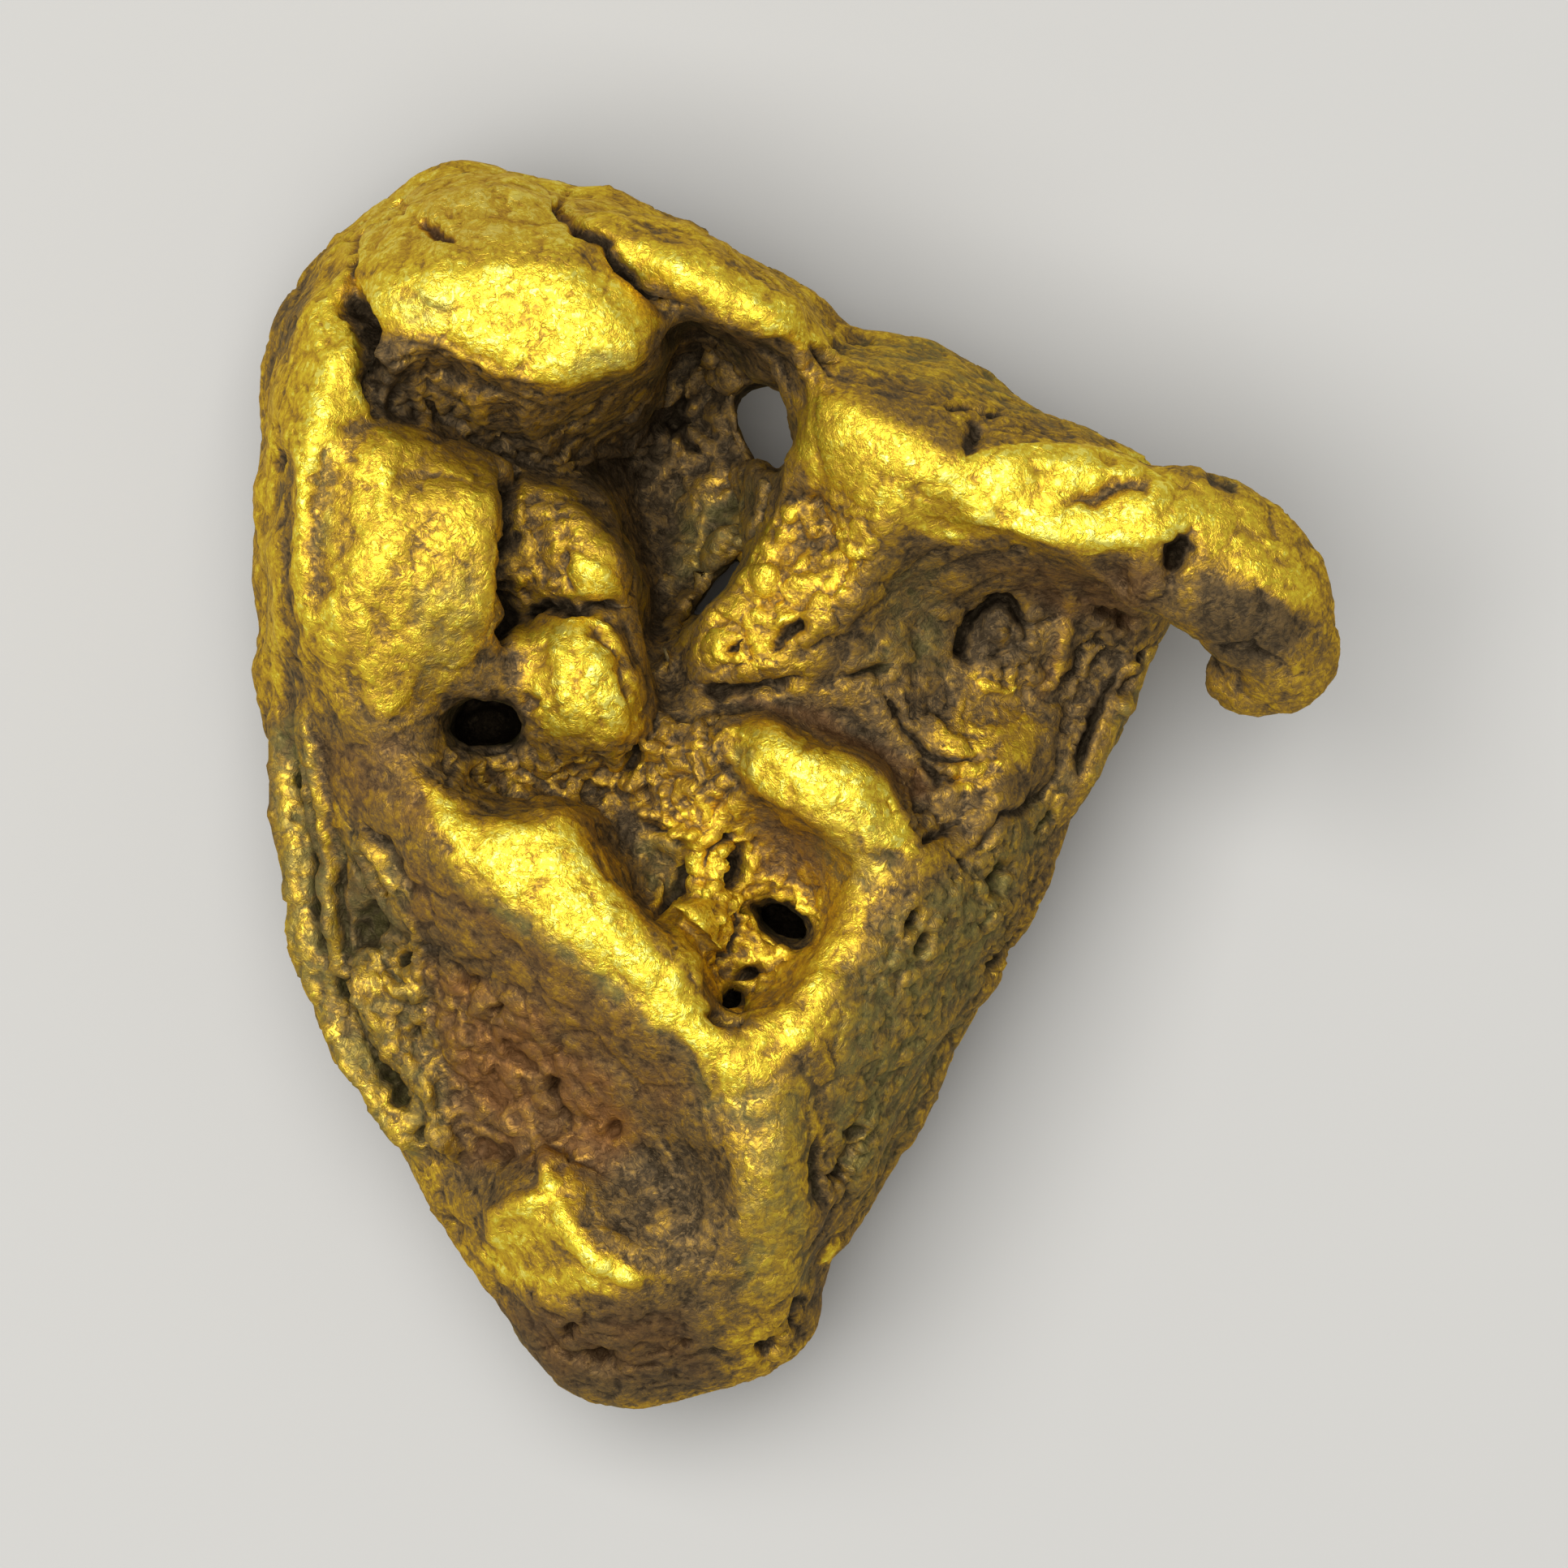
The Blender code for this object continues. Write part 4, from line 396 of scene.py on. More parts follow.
    hook=(0.22, 0.78, 0.9, (6.7, 5.4), (7.95, 5.05), (8.95, 4.1), (9.35, 3.1), (8.4, 3.25), (7.55, 3.85),
        (7.05, 4.3)),
    hook_dark=(0.2, 0.18, 0.9, (7.1, 3.65), (7.95, 3.5), (8.85, 3.1), (8.95, 2.4), (8.2, 2.05), (7.4, 2.2),
        (7, 2.85)),
    hook_tip=(0.2, 0.5, 0.8, (7.25, 1.95), (8.4, 1.9), (9.15, 2.4), (9.4, 1.7), (8.4, 1.05), (7.4, 1.25)),
    flank=(0.18, 0.72, 0.9, (0.4, 5.05), (1.1, 4.7), (1.55, 4.35), (1.2, 3.45), (0.45, 2.9), (-0.25, 2.05),
        (-1.3, 2), (-1.65, 2.45), (-0.95, 3.85), (-0.4, 4.7)),
    channel=(0.12, 0.31, 0.95, (-1.6, 1.7), (-0.45, 1.7), (0.55, 1.35), (1.3, 0.85), (2.05, 0.35),
        (2.8, -0.35), (2.35, -0.65), (1.7, 0.25), (0.95, 0.75), (0.15, 1.05), (-0.5, 1.25), (-1.3, 1.1)),
)

# Where the skin is rust red: (soft edge, amount, share, outline).
RUST = dict(
    lens=(0.2, 0.5, 1, *LENS_RING),
    tan_strip=(0.2, 0.4, 1, (4.75, 3.1), (5.05, 3.1), (4.75, 1.85), (4.45, 1.5), (4.25, 1.6), (4.7, 2.6)),
    rust_face=(0.5, 0.75, 1, (-6.45, -3.05), (-4.75, -3.4), (-3.05, -4.75), (-2.45, -6.15), (-3.3, -6.9),
        (-4.45, -6.6), (-5.75, -6.75)),
    brown_slope=(0.4, 0.35, 1, (-6.75, -1.05), (-5.3, -1.9), (-2.9, -3.75), (-1.6, -5.3), (-2.15, -6.15),
        (-4.75, -3.6), (-6.75, -2.3)),
    left_brown=(0.4, 0.3, 1, (-8.45, 0.85), (-6.6, 0.9), (-5.9, -1.15), (-7.75, -0.45)),
    channel=(0.2, 0.45, 1, (-1.6, 1.7), (0.55, 1.35), (2.05, 0.35), (2.7, -0.45), (1.7, 0.25),
        (0.15, 1.05)),
    bottom=(0.5, 0.35, 1, (-5.3, -9.05), (-1.75, -9.05), (-1.3, -10.45), (-4.15, -10.6)),
    crown_back=(0.4, 0.38, 1, (-8.15, 9.1), (-7.45, 10.55), (-5.3, 11.1), (-2.75, 10.35), (-3.9, 9.2)),
    brow_back=(0.3, 0.25, 1, (-3.05, 10.4), (-1.05, 9.75), (1.1, 7.85), (-0.6, 8.85)),
    face=(0.4, 0.35, 1, (3.25, 3.95), (6.7, 3.85), (6.1, 2.55), (4.7, 2.95)),
    crater_slope=(0.3, 0.3, 1, *CRATER_SLOPE_RING),
)

# Where the skin is olive green: (soft edge, amount, share, outline).
OLIVE = dict(
    crown_patch=(0.2, 0.85, 1, (-6.9, 8.5), (-6.3, 8.65), (-5.75, 8.45), (-5.9, 7.95), (-6.65, 8)),
    crown_foot=(0.2, 0.7, 1, (-3.9, 7.35), (-3.15, 7.6), (-2.55, 7.55), (-2.9, 7.15), (-3.65, 7.05)),
    v_edge=(0.2, 0.7, 1, (-5.9, -1.3), (-4.35, -2.4), (-2.9, -3.45), (-1.75, -4.6), (-2.45, -4.2),
        (-4.35, -2.75), (-5.9, -1.75)),
    v_foot=(0.3, 0.4, 1, (-1.9, -4.6), (-1.05, -5.15), (-0.3, -5.05), (-0.6, -6.15), (-1.45, -5.75)),
    stem=(0.4, 0.5, 1, (-0.95, -5.3), (0.4, -4.9), (0.4, -8.9), (-0.9, -9.05)),
    right_face=(0.5, 0.6, 1, (0.9, -3.05), (3.95, -0.6), (5.1, 0.4), (2.95, -4.75), (1.25, -7.6),
        (0.6, -6.15)),
    arm_back=(0.4, 0.55, 1, (0.55, 7.55), (2.55, 8.25), (6.1, 6.95), (8.95, 4.7), (6.1, 5.85),
        (2.85, 6.85)),
    face_left=(0.4, 0.35, 1, (1.7, 3.85), (2.7, 3.95), (2.85, 1.85), (1.25, 1.95)),
    cavity_wall=(0.4, 0.4, 1, (-1.95, 5.25), (-0.45, 5.4), (-0.65, 3.95), (-2.1, 3.45)),
    left_face=(0.4, 0.35, 1, (-8.15, -0.6), (-6.75, -1.15), (-5.9, -6.15), (-6.75, -6.45), (-8.15, -3.3)),
    left_edge=(0.2, 0.55, 1, (-9.25, 0.95), (-8.4, 1.4), (-7.85, -3.15), (-6.45, -6.05), (-6.45, -7.3),
        (-8.15, -5.15), (-8.95, -2.6)),
    edge_rim=(0.15, 0.6, 1, (6.65, 2.45), (5.75, 0.5), (4.85, -1.6), (4.65, -1.55), (5.5, 0.6),
        (6.35, 2.4)),
    rim_dip=(0.15, 0.5, 1, (-8.3, 5.9), (-7.8, 5.85), (-7.9, 4.1), (-8.25, 4.1)),
    lobe_low=(0.3, 0.5, 1, (-6.6, 3.4), (-5.45, 3.95), (-5.1, 2.95), (-5.75, 1.75), (-6.45, 1.55)),
    crescent_dent=(0.08, 0.8, 1, (-0.95, 0.7), (-0.65, 0.65), (-0.65, 0.2), (-0.9, 0.15)),
    crescent_foot=(0.4, 0.45, 1, (0.55, -0.3), (1.55, -0.6), (1.95, -1.3), (1.25, -2.05), (0.4, -1.15)),
    crater_facet=(0.2, 0.4, 1, (-2.6, -0.65), (-1.85, -1.1), (-1.95, -1.9), (-2.3, -2.05), (-2.75, -1.3)),
)


# ---- noise

# The noise tables' length, a power of two.
TABLE = 256
# What brings the noise to about -1 to 1.
NOISE_GAIN = 1.7
# More than any distance measured here.
FAR = 99.0


def noise_tables(seed):
    """A shuffled table of whole numbers and one of directions."""
    rng = np.random.default_rng(SEED + seed)
    order = rng.permutation(TABLE)
    ways = rng.normal(size=(TABLE, 3))
    ways /= np.linalg.norm(ways, axis=1)[:, None]
    return order, ways


def table_place(order, cell):
    """A place in the tables for each whole-number cell, the same each time."""
    first = order[cell[:, 0] & (TABLE - 1)]
    second = order[(first + cell[:, 1]) & (TABLE - 1)]
    return order[(second + cell[:, 2]) & (TABLE - 1)]


def noise(points, size, seed):
    """Smooth noise from about -1 to 1, with lumps of the given size."""
    order, ways = noise_tables(seed)
    q = points / size
    cell = np.floor(q).astype(np.int64)
    f = q - cell
    u = f * f * f * (f * (f * 6 - 15) + 10)
    total = np.zeros(len(points))
    for corner in itertools.product((0, 1), repeat=3):
        step = np.array(corner)
        weight = np.prod(np.where(step, u, 1 - u), axis=1)
        total += weight * np.sum(ways[table_place(order, cell + step)] * (f - step), axis=1)
    return total * NOISE_GAIN


def layered(points, size, seed, layers, shape=np.positive):
    """Noise at several sizes, each half the one before. Shaped by np.abs, it has creases at 0."""
    total = np.zeros(len(points))
    for k in range(layers):
        total += 0.5 ** k * shape(noise(points, size / 2 ** k, seed + k))
    return total


def cells(points, size, seed):
    """Scattered flakes: distances to the nearest and second nearest of scattered spots, in flake
    sizes, and a tilt from about -1 to 1 that is even over each flake."""
    order, ways = noise_tables(seed)
    spots = np.random.default_rng(SEED + seed).random((TABLE, 3))
    q = points / size
    cell = np.floor(q).astype(np.int64)
    f = q - cell
    near = np.full(len(points), FAR)
    second = np.full(len(points), FAR)
    tilt = np.zeros(len(points))
    for corner in itertools.product((-1, 0, 1), repeat=3):
        step = np.array(corner)
        name = table_place(order, cell + step)
        off = spots[name] + step - f
        away = np.linalg.norm(off, axis=1)
        closer = away < near
        second = np.minimum(second, np.maximum(near, away))
        near = np.where(closer, away, near)
        tilt = np.where(closer, np.sum(off * ways[name], axis=1) + spots[name, 0] - 0.5, tilt)
    return near, second, tilt


def shaken(points, size, reach, seed):
    """The points moved about by noise, so that shapes drawn on them get ragged edges."""
    return points + reach * np.stack([noise(points, size, seed + k) for k in range(3)], axis=1)


# ---- lines and outlines seen from above

# Points made for each stretch of a curve.
CURVE_STEPS = 6


def fade(low, high, value):
    """A soft step from 0 at low to 1 at high; low may be the larger of the two."""
    t = np.clip((value - low) / (high - low), 0, 1)
    return t * t * (3 - 2 * t)


def curve(points):
    """A smooth line through a few points."""
    p = np.array(points, float)
    p = np.vstack([2 * p[0] - p[1], p, 2 * p[-1] - p[-2]])
    made = []
    for a, b, c, d in zip(p[:-3], p[1:-2], p[2:-1], p[3:]):
        for t in np.linspace(0, 1, CURVE_STEPS, endpoint=False):
            made.append(0.5 * (2 * b + (c - a) * t + (2 * a - 5 * b + 4 * c - d) * t ** 2
                               + (3 * b - a - 3 * c + d) * t ** 3))
    made.append(p[-2])
    return np.array(made)


def along(flat, line):
    """For each point: its distance to a line, and its share of the way along."""
    lengths = np.linalg.norm(np.diff(line, axis=0), axis=1)
    starts = np.concatenate([[0], np.cumsum(lengths)])
    near = np.full(len(flat), FAR)
    share = np.zeros(len(flat))
    for a, b, length, start in zip(line[:-1], line[1:], lengths, starts):
        way = (b - a) / length
        off = flat - a
        t = np.clip(off @ way, 0, length)
        away = np.linalg.norm(off - t[:, None] * way, axis=1)
        closer = away < near
        near = np.where(closer, away, near)
        share = np.where(closer, (start + t) / starts[-1], share)
    return near, share


def inside(flat, ring):
    """Distance to a closed outline, above 0 inside it and below 0 outside."""
    ring = np.asarray(ring, float)
    near = np.full(len(flat), FAR)
    odd = np.zeros(len(flat), bool)
    for a, b in zip(ring, np.roll(ring, -1, axis=0)):
        way = b - a
        off = flat - a
        t = np.clip(off @ way / (way @ way), 0, 1)
        near = np.minimum(near, np.linalg.norm(off - t[:, None] * way, axis=1))
        crosses = (a[1] > flat[:, 1]) != (b[1] > flat[:, 1])
        edge_x = np.where(crosses, way[0] * (flat[:, 1] - a[1]) / (way[1] if way[1] else 1) + a[0], 0)
        odd ^= crosses & (flat[:, 0] < edge_x)
    return np.where(odd, near, -near)


# ---- meshes

# Added to distances in millimetres, so that no single source outweighs all others.
CARRY_REACH = 0.02


def added(name, data):
    """A new object in the scene."""
    piece = bpy.data.objects.new(name, data)
    bpy.context.scene.collection.objects.link(piece)
    return piece


def evaluated(mesh, name, kind, settings):
    """The mesh with one modifier applied."""
    piece = added(name, mesh)
    modifier = piece.modifiers.new(kind, kind)
    for setting, value in settings.items():
        setattr(modifier, setting, value)
    graph = bpy.context.evaluated_depsgraph_get()
    made = bpy.data.meshes.new_from_object(piece.evaluated_get(graph))
    bpy.data.objects.remove(piece)
    return made


def listed(items, name, width, kind=float):
    """One property of all items of a mesh, with a row for each."""
    values = np.empty(len(items) * width, kind)
    items.foreach_get(name, values)
    return values.reshape(-1, width)


def places(mesh):
    return listed(mesh.vertices, "co", 3)


def directions(mesh):
    return listed(mesh.vertex_normals, "vector", 3)


def edge_ends(mesh):
    return listed(mesh.edges, "vertices", 2, np.int64)


def moved(mesh, points):
    """Puts the vertices at new places."""
    mesh.vertices.foreach_set("co", points.ravel())
    mesh.update()


def evened(values, ends, passes):
    """Values of the vertices, moved half-way to the mean of their neighbours in each pass."""
    count = np.bincount(ends.ravel(), minlength=len(values)).astype(float)
    flat = values.reshape(len(values), -1).copy()
    for _ in range(passes):
        for k in range(flat.shape[1]):
            column = flat[:, k]
            total = np.bincount(ends[:, 0], column[ends[:, 1]], len(column))
            total += np.bincount(ends[:, 1], column[ends[:, 0]], len(column))
            flat[:, k] = column + 0.5 * (total / count - column)
    return flat.reshape(values.shape)


def carried(values, sources, targets, count=3):
    """Values known at some places, carried over to others from the few nearest."""
    tree = KDTree(len(sources))
    for k, place in enumerate(sources):
        tree.insert(place, k)
    tree.balance()
    made = np.empty((len(targets), values.shape[1]))
    for k, place in enumerate(targets):
        found = tree.find_n(place, count)
        near = [f[1] for f in found]
        weight = np.array([1 / (f[2] + CARRY_REACH) for f in found])
        made[k] = weight @ values[near] / weight.sum()
    return made


def dense_mesh():
    """A dense copy of the nugget's solid in millimetres, with its facets smoothed away."""
    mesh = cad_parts["nugget"].data.copy()
    mesh.transform(Matrix.Scale(1 / MM, 4))
    mesh = evaluated(mesh, "dense", "REMESH", {"mode": "VOXEL", "voxel_size": DENSE_VOXEL})
    moved(mesh, evened(places(mesh), edge_ends(mesh), FACET_PASSES))
    return mesh


def coarse_copy(mesh, ratio):
    """A copy with fewer faces, for slow measures of the broad form."""
    return evaluated(mesh.copy(), "coarse", "DECIMATE", {"ratio": ratio})


# ---- the worked surface

# How much wider than given the middle of a line may be, as its sides slope.
RIDGE_SPREAD = 1.5
CRACK_SPREAD = 1.3

# The most shade painted into a cut, and how the painted shade grows with each mm of depth.
CRACK_SHADE = (0.95, 2.4)
PIT_SHADE = (0.75, 1.8)

# The size of crags and of the noise on them, as shares of the grain.
CRAG_SIZE = 1.7
CRAG_NOISE_SIZE = 0.8

# Folds and dents: their height on top, and what a steep flank adds, in mm.
FOLD_HEIGHT = (0.05, 0.24)
DENT_HEIGHT = (0.04, 0.22)
FOLD_STRETCH = (1, 1, 0.6)

# Flakes of the foil-like skin: (size, height, seed). Ripples lie over them.
FLAKES = ((1.1, 0.055, 71), (0.42, 0.030, 76))
RIPPLE_HEIGHT = 0.022


def stroke(flat, line, half, rough):
    """How strongly a drawn line touches each point, from 0 outside it to 1 on it."""
    near, share = along(flat, curve(line))
    ends = fade(0.0, 0.18, share) * fade(1.0, 0.82, share)
    ragged = half * (0.55 + 0.45 * ends) * (1 + 0.35 * rough)
    return np.clip(1 - near / ragged, 0, 1) * (0.25 + 0.75 * ends)


def pit_mask(flat, place, along_radius, across_radius, turn, rough):
    """How deep in a pit each point is, from 0 outside it to 1 in its middle."""
    turned = math.radians(turn)
    off = flat - np.array(place)
    u = off[:, 0] * math.cos(turned) + off[:, 1] * math.sin(turned)
    v = off[:, 1] * math.cos(turned) - off[:, 0] * math.sin(turned)
    away = np.sqrt((u / along_radius) ** 2 + (v / across_radius) ** 2) * (1 + 0.3 * rough)
    return fade(1.15, 0.35, away)


def crumbled(points, ragged, size):
    """The height of crags of the given grain size, for a height of 1."""
    first, second, tilt = cells(ragged, size * CRAG_SIZE, seed=41)
    crags = 1.1 * tilt + 0.4 * fade(0.0, 0.12, second - first) - 0.35
    crags += 0.5 * noise(points, size * CRAG_NOISE_SIZE, seed=42)
    return crags


def drawn(points, up):
    """What is drawn on the upper skin: how far it is raised and cut, and how much shade is painted into the
    cuts.
    """
    rough = noise(points, size=0.35, seed=31)
    ragged = shaken(points, size=0.4, reach=0.07, seed=32)
    flat = ragged[:, :2]
    rise = np.zeros(len(points))
    cuts = np.zeros(len(points))
    cut_shade = np.zeros(len(points))
    for half, height, *line in RIDGES.values():
        rise += height * fade(0, 1, stroke(flat, line, half * RIDGE_SPREAD, rough))
    for size, height, *ring in CRUMB.values():
        soft = fade(-0.25, 0.35, inside(flat, ring))
        near = soft > 0
        rise[near] += height * soft[near] * crumbled(points[near], ragged[near], size)
    for half, depth, *line in CRACKS.values():
        cut = stroke(flat, line, half * CRACK_SPREAD, rough)
        cuts += depth * cut ** 0.8
        # Painted shade in the crack, more for a deeper crack.
        most = min(CRACK_SHADE[0], depth * CRACK_SHADE[1])
        cut_shade = np.maximum(cut_shade, fade(0.15, 0.75, cut) * most)
    for place, long, short, turn, depth in PITS.values():
        cut = pit_mask(flat, place, long, short, turn, rough)
        cuts += depth * cut
        # Painted shade in the pit, more for a deeper pit.
        most = min(PIT_SHADE[0], depth * PIT_SHADE[1])
        cut_shade = np.maximum(cut_shade, fade(0.2, 0.9, cut) * most)
    gentle = fade(0.1, 0.6, up)
    rise *= fade(0.02, 0.3, up) * (0.35 + 0.65 * gentle)
    return rise, cuts * fade(0.0, 0.2, up), cut_shade * fade(0.0, 0.25, up)


def weathered(points, up):
    """The height change of folds and dents all over, strongest on flanks and underside."""
    side = fade(0.75, 0.2, up)
    stretched = shaken(points * np.array(FOLD_STRETCH), size=1.5, reach=0.35, seed=51)
    folds = layered(stretched, size=2.9, seed=54, layers=2, shape=np.abs)
    rise = (FOLD_HEIGHT[0] + FOLD_HEIGHT[1] * side) * (0.45 - np.clip(folds, 0, 0.9))
    first, _, _ = cells(shaken(points, size=0.8, reach=0.2, seed=57), size=1.35, seed=60)
    patches = fade(0.15, 0.5, noise(points, size=2.6, seed=61))
    return rise - (DENT_HEIGHT[0] + DENT_HEIGHT[1] * side) * (fade(0.30, 0.10, first) * patches)


def crinkled(points, worn):
    """The foil-like skin: small tilted flakes with sharp valleys between them, least where worn."""
    rise = np.zeros(len(points))
    for size, height, seed in FLAKES:
        ragged = shaken(points, size, size * 0.28, seed)
        first, second, tilt = cells(ragged, size, seed + 3)
        rise += height * (0.6 * tilt + 0.35 * fade(0.0, 0.25, second - first))
    rise *= 1.2 - 0.35 * worn
    return rise + RIPPLE_HEIGHT * layered(points, size=0.8, seed=81, layers=3)


def surfaced():
    """The nugget's fine mesh in millimetres, how crest-like each point is, and how much shade is painted
    into it in cracks and pits.
    """
    mesh = dense_mesh()
    points, ends = places(mesh), edge_ends(mesh)
    ways = evened(directions(mesh), ends, NORMAL_PASSES)
    ways /= np.linalg.norm(ways, axis=1)[:, None]
    up = ways[:, 2]
    crest = crests(mesh, points)
    rise, cuts, cut_shade = drawn(points, up)
    rise += weathered(points, up)
    # Cuts lean towards the vertical, so that they show from above on a steep flank too.
    tipped = ways + np.array([0, 0, 1]) * fade(0.0, 0.3, up)[:, None]
    tipped /= np.linalg.norm(tipped, axis=1)[:, None]
    points = points + ways * rise[:, None] - tipped * cuts[:, None]
    moved(mesh, points)
    worn = fade(-0.1, 0.9, crest) * fade(0.3, 0.9, up)
    points = points + directions(mesh) * crinkled(points, worn)[:, None]
    points[:, 2] = np.maximum(points[:, 2], 0)
    moved(mesh, points)
    # The dense mesh has four-sided faces, each of which makes two triangles.
    fine = evaluated(mesh, "fine", "DECIMATE", {"ratio": TRIANGLES / (len(mesh.polygons) * 2)})
    return fine, *carried(np.stack([crest, cut_shade], axis=1), points, places(fine), 1).T


# ---- masks

# Coarse copies for slow measures, as shares of the faces.
CREST_RATIO = 0.05
OPEN_RATIO = 0.06
BROAD_PASSES = 30

# Rays for openness: their number, length, start above the surface and spread.
RAYS = 24
RAY_REACH = 3.5
RAY_START = 0.06
RAY_SPREAD = 0.97

# The tone before anything is painted: a base, what a crest and noise add, and its limits.
TONE_BASE = 0.40
TONE_CREST = 0.30
TONE_NOISE = 0.16
TONE_LIMITS = (0.22, 0.8)
# How far the painted shade in cracks and pits darkens the tone.
CUT_SHADE_DARKNESS = 0.85

# How rusty or olive the patches of the unseen back are.
BACK_RUST = 0.35
BACK_OLIVE = 0.6

# Fine relief, whose mask paints shade into fine valleys: the passes that even it out, and its mask's gain
# for each mm.
FINE_PASSES = 8
FINE_GAIN = 10


def crests(mesh, points):
    """How far each point stands out from the broad form round it, in millimetres."""
    coarse = coarse_copy(mesh, CREST_RATIO)
    there, ends = places(coarse), edge_ends(coarse)
    broad = evened(there, ends, BROAD_PASSES)
    out = np.sum((there - broad) * directions(coarse), axis=1)
    return carried(evened(out, ends, 2)[:, None], there, points)[:, 0]


def openness(mesh, points):
    """How much of the space over each point is open, from 0 in a hole to 1 on a crest."""
    coarse = coarse_copy(mesh, OPEN_RATIO)
    there, ways = places(coarse), directions(coarse)
    faces = [tuple(f.vertices) for f in coarse.polygons]
    tree = BVHTree.FromPolygons([tuple(p) for p in there], faces)
    spread = np.random.default_rng(SEED).normal(size=(RAYS, 3))
    spread /= np.linalg.norm(spread, axis=1)[:, None]
    free = np.zeros(len(there))
    for k, (place, way) in enumerate(zip(there, ways)):
        start = Vector(place + way * RAY_START)
        for turn in spread:
            ray = Vector(way + turn * RAY_SPREAD).normalized()
            length = tree.ray_cast(start, ray, RAY_REACH)[3]
            free[k] += 1 if length is None else 0.6 * length / RAY_REACH
    free = evened(free / RAYS, edge_ends(coarse), 1)
    return carried(free[:, None], there, points)[:, 0]


def painted(flat, table, up, start):
    """A value for each point from rings painted over one another on the upper skin."""
    value = start.copy()
    for soft, target, share, *ring in table.values():
        cover = fade(-soft / 2, soft, inside(flat, ring)) * fade(-0.1, 0.2, up)
        value += cover * share * (target - value)
    return value


def set_mask(mesh, name, values):
    """Stores values from 0 to 1 on the vertices, for the material."""
    layer = mesh.attributes.new(name, "FLOAT", "POINT")
    layer.data.foreach_set("value", np.clip(values, 0, 1).astype(np.float32))


def masks(mesh, crest, cut_shade):
    """Stores what the gold's colours follow: tone with painted shade, fine relief, rust and olive."""
    points, ways, ends = places(mesh), directions(mesh), edge_ends(mesh)
    fine = np.sum((points - evened(points, ends, FINE_PASSES)) * ways, axis=1)
    up = evened(ways, ends, FINE_PASSES)[:, 2]
    tone = TONE_BASE + TONE_CREST * crest + TONE_NOISE * layered(points, size=2.2, seed=91, layers=2)
    flat = shaken(points, size=0.5, reach=0.12, seed=94)[:, :2]
    tone = painted(flat, TONES, up, np.clip(tone, *TONE_LIMITS))
    # Painted shade: the tone is darkened where little of the space above is open, as in hollows and under
    # overhangs, and in cracks and pits.
    lit = fade(0.0, 0.35, openness(mesh, points))
    tone *= (0.3 + 0.7 * lit) * (1 - CUT_SHADE_DARKNESS * cut_shade)
    patches = fade(-0.2, 0.9, layered(points, size=2.6, seed=97, layers=3))
    below = fade(0.3, -0.2, up)
    set_mask(mesh, "tone", tone)
    set_mask(mesh, "fine", 0.5 + fine * FINE_GAIN)
    set_mask(mesh, "rust", painted(flat, RUST, up, BACK_RUST * patches * below))
    set_mask(mesh, "olive", painted(flat, OLIVE, up, BACK_OLIVE * (1 - patches) * below))


# ---- materials

# The gold's colours by tone, as linear light: (tone, colour).
GOLD_RAMP = (
    (0.00, (0.006, 0.004, 0.003)),
    (0.18, (0.054, 0.038, 0.022)),
    (0.34, (0.155, 0.098, 0.038)),
    (0.48, (0.31, 0.185, 0.037)),
    (0.62, (0.53, 0.325, 0.034)),
    (0.78, (0.72, 0.50, 0.038)),
    (0.92, (0.85, 0.67, 0.050)),
    (1.00, (0.93, 0.82, 0.15)),
)
RUST_COLOUR = (0.27, 0.115, 0.035, 1.0)
OLIVE_COLOUR = (0.29, 0.26, 0.075, 1.0)
EDGE_TINT = (0.80, 0.60, 0.30, 1.0)

# Rust and olive by tone: their light at tone 0, and what each step of tone adds.
CRUST_LIGHT = (0.35, 1.2)

# How deep the wandering lines are in tone, and how much line, mottle and grain raise the bump.
LINE_TONE = -0.11
BUMP_LINE = -0.12
BUMP_MOTTLE = 0.9
BUMP_GRAIN = 0.6
BUMP_STRENGTH = 0.6
BUMP_DISTANCE = 0.0001
DULL_ROUGHNESS = 0.22


class Nodes:
    """A short way to write a node tree."""

    def __init__(self, tree):
        self.tree = tree

    def add(self, kind, inputs=(), **settings):
        node = self.tree.nodes.new("ShaderNode" + kind)
        for setting, value in settings.items():
            setattr(node, setting, value)
        for key, value in dict(inputs).items():
            if isinstance(value, bpy.types.NodeSocket):
                self.tree.links.new(value, node.inputs[key])
            else:
                node.inputs[key].default_value = value
        return node

    def math(self, operation, a, b=0.0, c=0.0, clamp=False):
        node = self.add("Math", enumerate((a, b, c)), operation=operation, use_clamp=clamp)
        return node.outputs[0]

    def remap(self, value, source, target):
        inputs = enumerate((value, *source, *target))
        return self.add("MapRange", inputs, interpolation_type="SMOOTHSTEP").outputs[0]

    def mix(self, share, a, b, blend="MIX"):
        node = self.add("Mix", {0: share, 6: a, 7: b}, data_type="RGBA", blend_type=blend)
        return node.outputs[2]

    def ramp(self, value, stops):
        node = self.add("ValToRGB", {0: value})
        bar = node.color_ramp
        while len(bar.elements) < len(stops):
            bar.elements.new(0.5)
        for element, (place, colour) in zip(bar.elements, stops):
            element.position = place
            element.color = (*colour, 1)
        return node.outputs[0]

    def mask(self, name):
        return self.add("Attribute", attribute_name=name).outputs["Fac"]

    def noise(self, where, scale, detail, roughness, distortion=0.0):
        inputs = {"Vector": where, "Scale": scale, "Detail": detail, "Roughness": roughness}
        return self.add("TexNoise", {**inputs, "Distortion": distortion}).outputs["Fac"]


def wandering_line(n, grain):
    """Soft thin lines along the middle value of the grain."""
    off = n.math("ABSOLUTE", n.math("SUBTRACT", grain, 0.5))
    return n.remap(off, (0.0, 0.08), (1.0, 0.0))


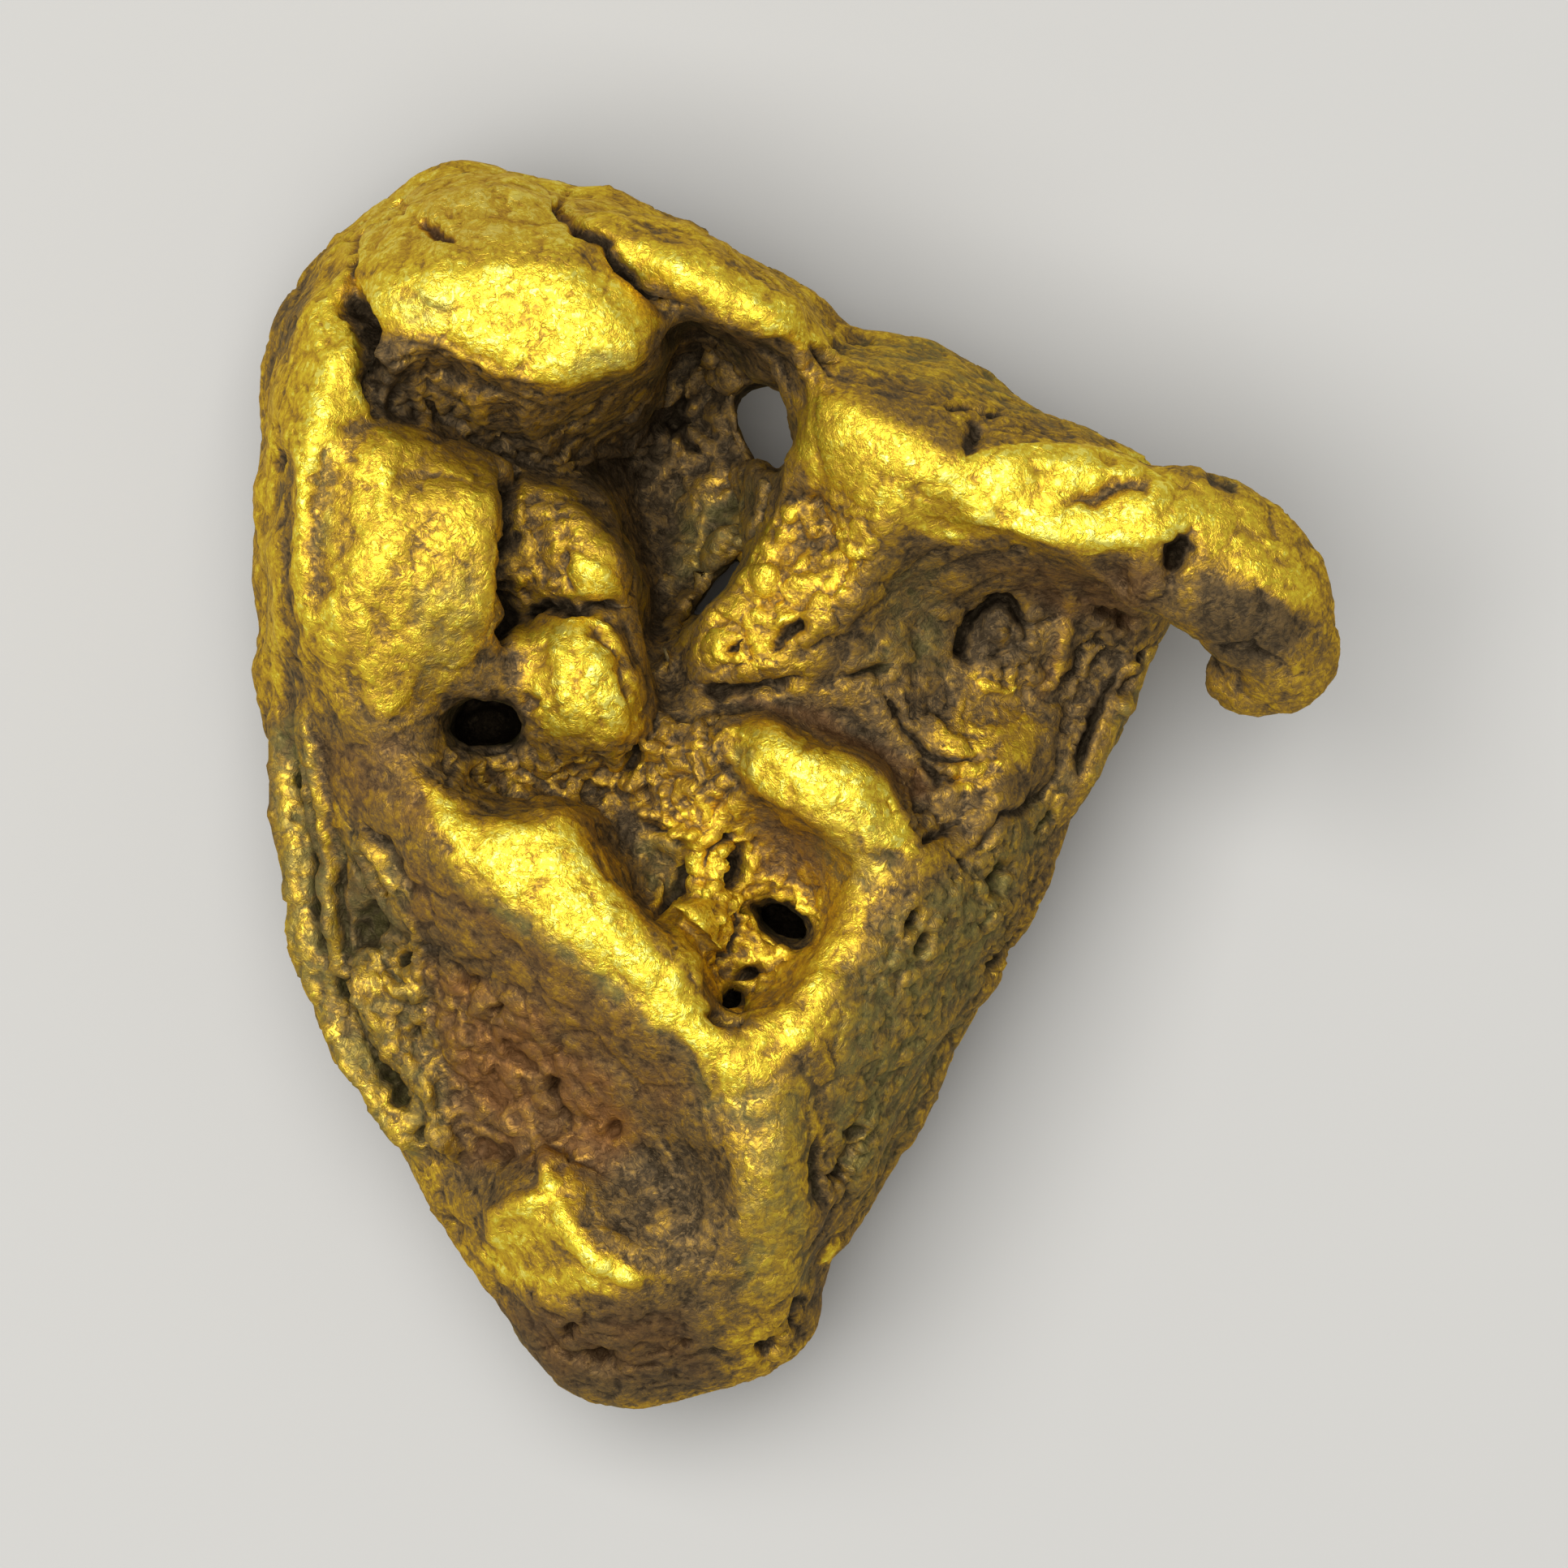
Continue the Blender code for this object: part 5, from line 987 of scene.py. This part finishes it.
def speckled_tone(n, tone, line, mottle, grain, speck):
    """The tone with amber lines, pale flecks, blotches and painted shade in fine valleys, weaker where
    dark.
    """
    pale = n.remap(grain, (0.5, 0.7), (0.0, 0.10))
    fleck = n.math("ADD", pale, n.remap(speck, (0.35, 0.7), (-0.06, 0.12)))
    blotch = n.remap(mottle, (0.35, 0.68), (-0.10, 0.06))
    # Painted shade in the fine valleys of the relief, and a lighter tone on its fine ridges.
    relief_shade = n.remap(n.mask("fine"), (0.25, 0.75), (-0.16, 0.10))
    shade = n.math("ADD", n.math("ADD", fleck, blotch), n.math("MULTIPLY_ADD", line, LINE_TONE, relief_shade))
    shade = n.math("MULTIPLY", shade, n.remap(tone, (0.0, 0.6), (0.35, 1.0)))
    return n.math("ADD", tone, shade, clamp=True)


def crusted(n, colour, crust_colour, tone, share):
    """The colour, covered by the given share with a crust that is lighter where the tone is."""
    light = n.math("ADD", n.math("MULTIPLY", tone, CRUST_LIGHT[1]), CRUST_LIGHT[0])
    grey = n.add("CombineColor", {0: light, 1: light, 2: light}).outputs[0]
    return n.mix(share, colour, n.mix(1.0, crust_colour, grey, "MULTIPLY"))


def gold_material():
    """Native gold: polished where the tone is high, brown and dull where it is low."""
    material = bpy.data.materials.new("native gold")
    material.use_nodes = True
    tree = material.node_tree
    tree.nodes.clear()
    n = Nodes(tree)
    where = n.add("TexCoord").outputs["Object"]
    where = n.add("VectorMath", {0: where, 3: 1 / MM}, operation="SCALE").outputs[0]
    cloud = n.noise(where, scale=1.1, detail=3.0, roughness=0.6)
    mottle = n.noise(where, scale=2.4, detail=3.0, roughness=0.65, distortion=0.5)
    grain = n.noise(where, scale=5.0, detail=4.0, roughness=0.62, distortion=0.7)
    speck = n.noise(where, scale=9.0, detail=3.0, roughness=0.6)
    line = wandering_line(n, grain)

    tone = speckled_tone(n, n.mask("tone"), line, mottle, grain, speck)
    rust_share = n.math("MULTIPLY", n.mask("rust"), n.remap(cloud, (0.3, 0.6), (0.4, 1.0)))
    olive_share = n.math("MULTIPLY", n.mask("olive"), n.remap(mottle, (0.35, 0.6), (1.0, 0.25)))
    colour = crusted(n, n.ramp(tone, GOLD_RAMP), RUST_COLOUR, tone, rust_share)
    colour = crusted(n, colour, OLIVE_COLOUR, tone, olive_share)

    dull = n.math("MULTIPLY", n.remap(tone, (0.3, 0.85), (1.0, 0.0)), DULL_ROUGHNESS)
    rough = n.math("ADD", n.remap(grain, (0.3, 0.7), (0.50, 0.40)), dull)
    metal = n.remap(tone, (0.15, 0.6), (0.45, 0.82))
    height = n.math("ADD", n.math("MULTIPLY", line, BUMP_LINE), n.math("MULTIPLY", mottle, BUMP_MOTTLE))
    height = n.math("ADD", height, n.math("MULTIPLY", grain, BUMP_GRAIN))
    bump = n.add("Bump", {"Height": height, "Strength": BUMP_STRENGTH, "Distance": BUMP_DISTANCE})
    shader = n.add(
        "BsdfPrincipled",
        {"Base Color": colour, "Metallic": metal, "Roughness": rough, "Normal": bump.outputs[0],
         "Specular Tint": EDGE_TINT},
    )
    tree.links.new(shader.outputs[0], n.add("OutputMaterial").inputs[0])
    return material


def floor_material():
    """A plain pale matt floor."""
    material = bpy.data.materials.new("pale floor")
    material.use_nodes = True
    shader = material.node_tree.nodes["Principled BSDF"]
    shader.inputs["Base Color"].default_value = FLOOR_COLOUR
    shader.inputs["Roughness"].default_value = FLOOR_ROUGHNESS
    return material


# ---- the scene

def nugget():
    """The whole nugget, in place of its plain solid."""
    mesh, crest, cut_shade = surfaced()
    masks(mesh, crest, cut_shade)
    mesh.transform(Matrix.Scale(MM, 4))
    mesh.materials.clear()
    mesh.materials.append(gold_material())
    mesh.polygons.foreach_set("use_smooth", [True] * len(mesh.polygons))
    piece = added("nugget_gold", mesh)
    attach(piece, "root")
    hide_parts("nugget")


def floor():
    """The floor that the nugget lies on, just below the rest plane."""
    bpy.ops.mesh.primitive_plane_add(size=FLOOR_SIZE, location=(0, 0, -FLOOR_DROP))
    floor = bpy.context.object
    floor.name = "floor"
    floor.data.materials.append(floor_material())


def studio_light():
    """One large softbox above, and a dim even room."""
    light = bpy.data.lights.new("softbox", "AREA")
    light.shape = "SQUARE"
    light.size = SOFTBOX_SIZE
    light.energy = SOFTBOX_POWER
    lamp = added("softbox", light)
    lamp.location = SOFTBOX_PLACE
    lamp.rotation_euler = Vector(lamp.location).to_track_quat("Z", "Y").to_euler()

    world = bpy.data.worlds.new("dim room")
    world.use_nodes = True
    back = world.node_tree.nodes["Background"]
    back.inputs["Color"].default_value = ROOM_COLOUR
    back.inputs["Strength"].default_value = ROOM_STRENGTH
    bpy.context.scene.world = world


def camera():
    """A camera far above that looks straight down, as the photograph does."""
    data = bpy.data.cameras.new("camera")
    data.lens = LENS
    data.sensor_width = SENSOR
    distance = FRAME_WIDTH / 2 / (SENSOR / 2 / LENS)
    data.clip_start = 0.01
    data.clip_end = 10.0
    camera = added("camera", data)
    camera.location = (CAMERA_X * MM, CAMERA_Y * MM, (FOCUS_HEIGHT + distance) * MM)
    bpy.context.scene.camera = camera


nugget()
floor()
studio_light()
camera()
bpy.context.scene.view_settings.view_transform = "Standard"
bpy.context.view_layer.update()
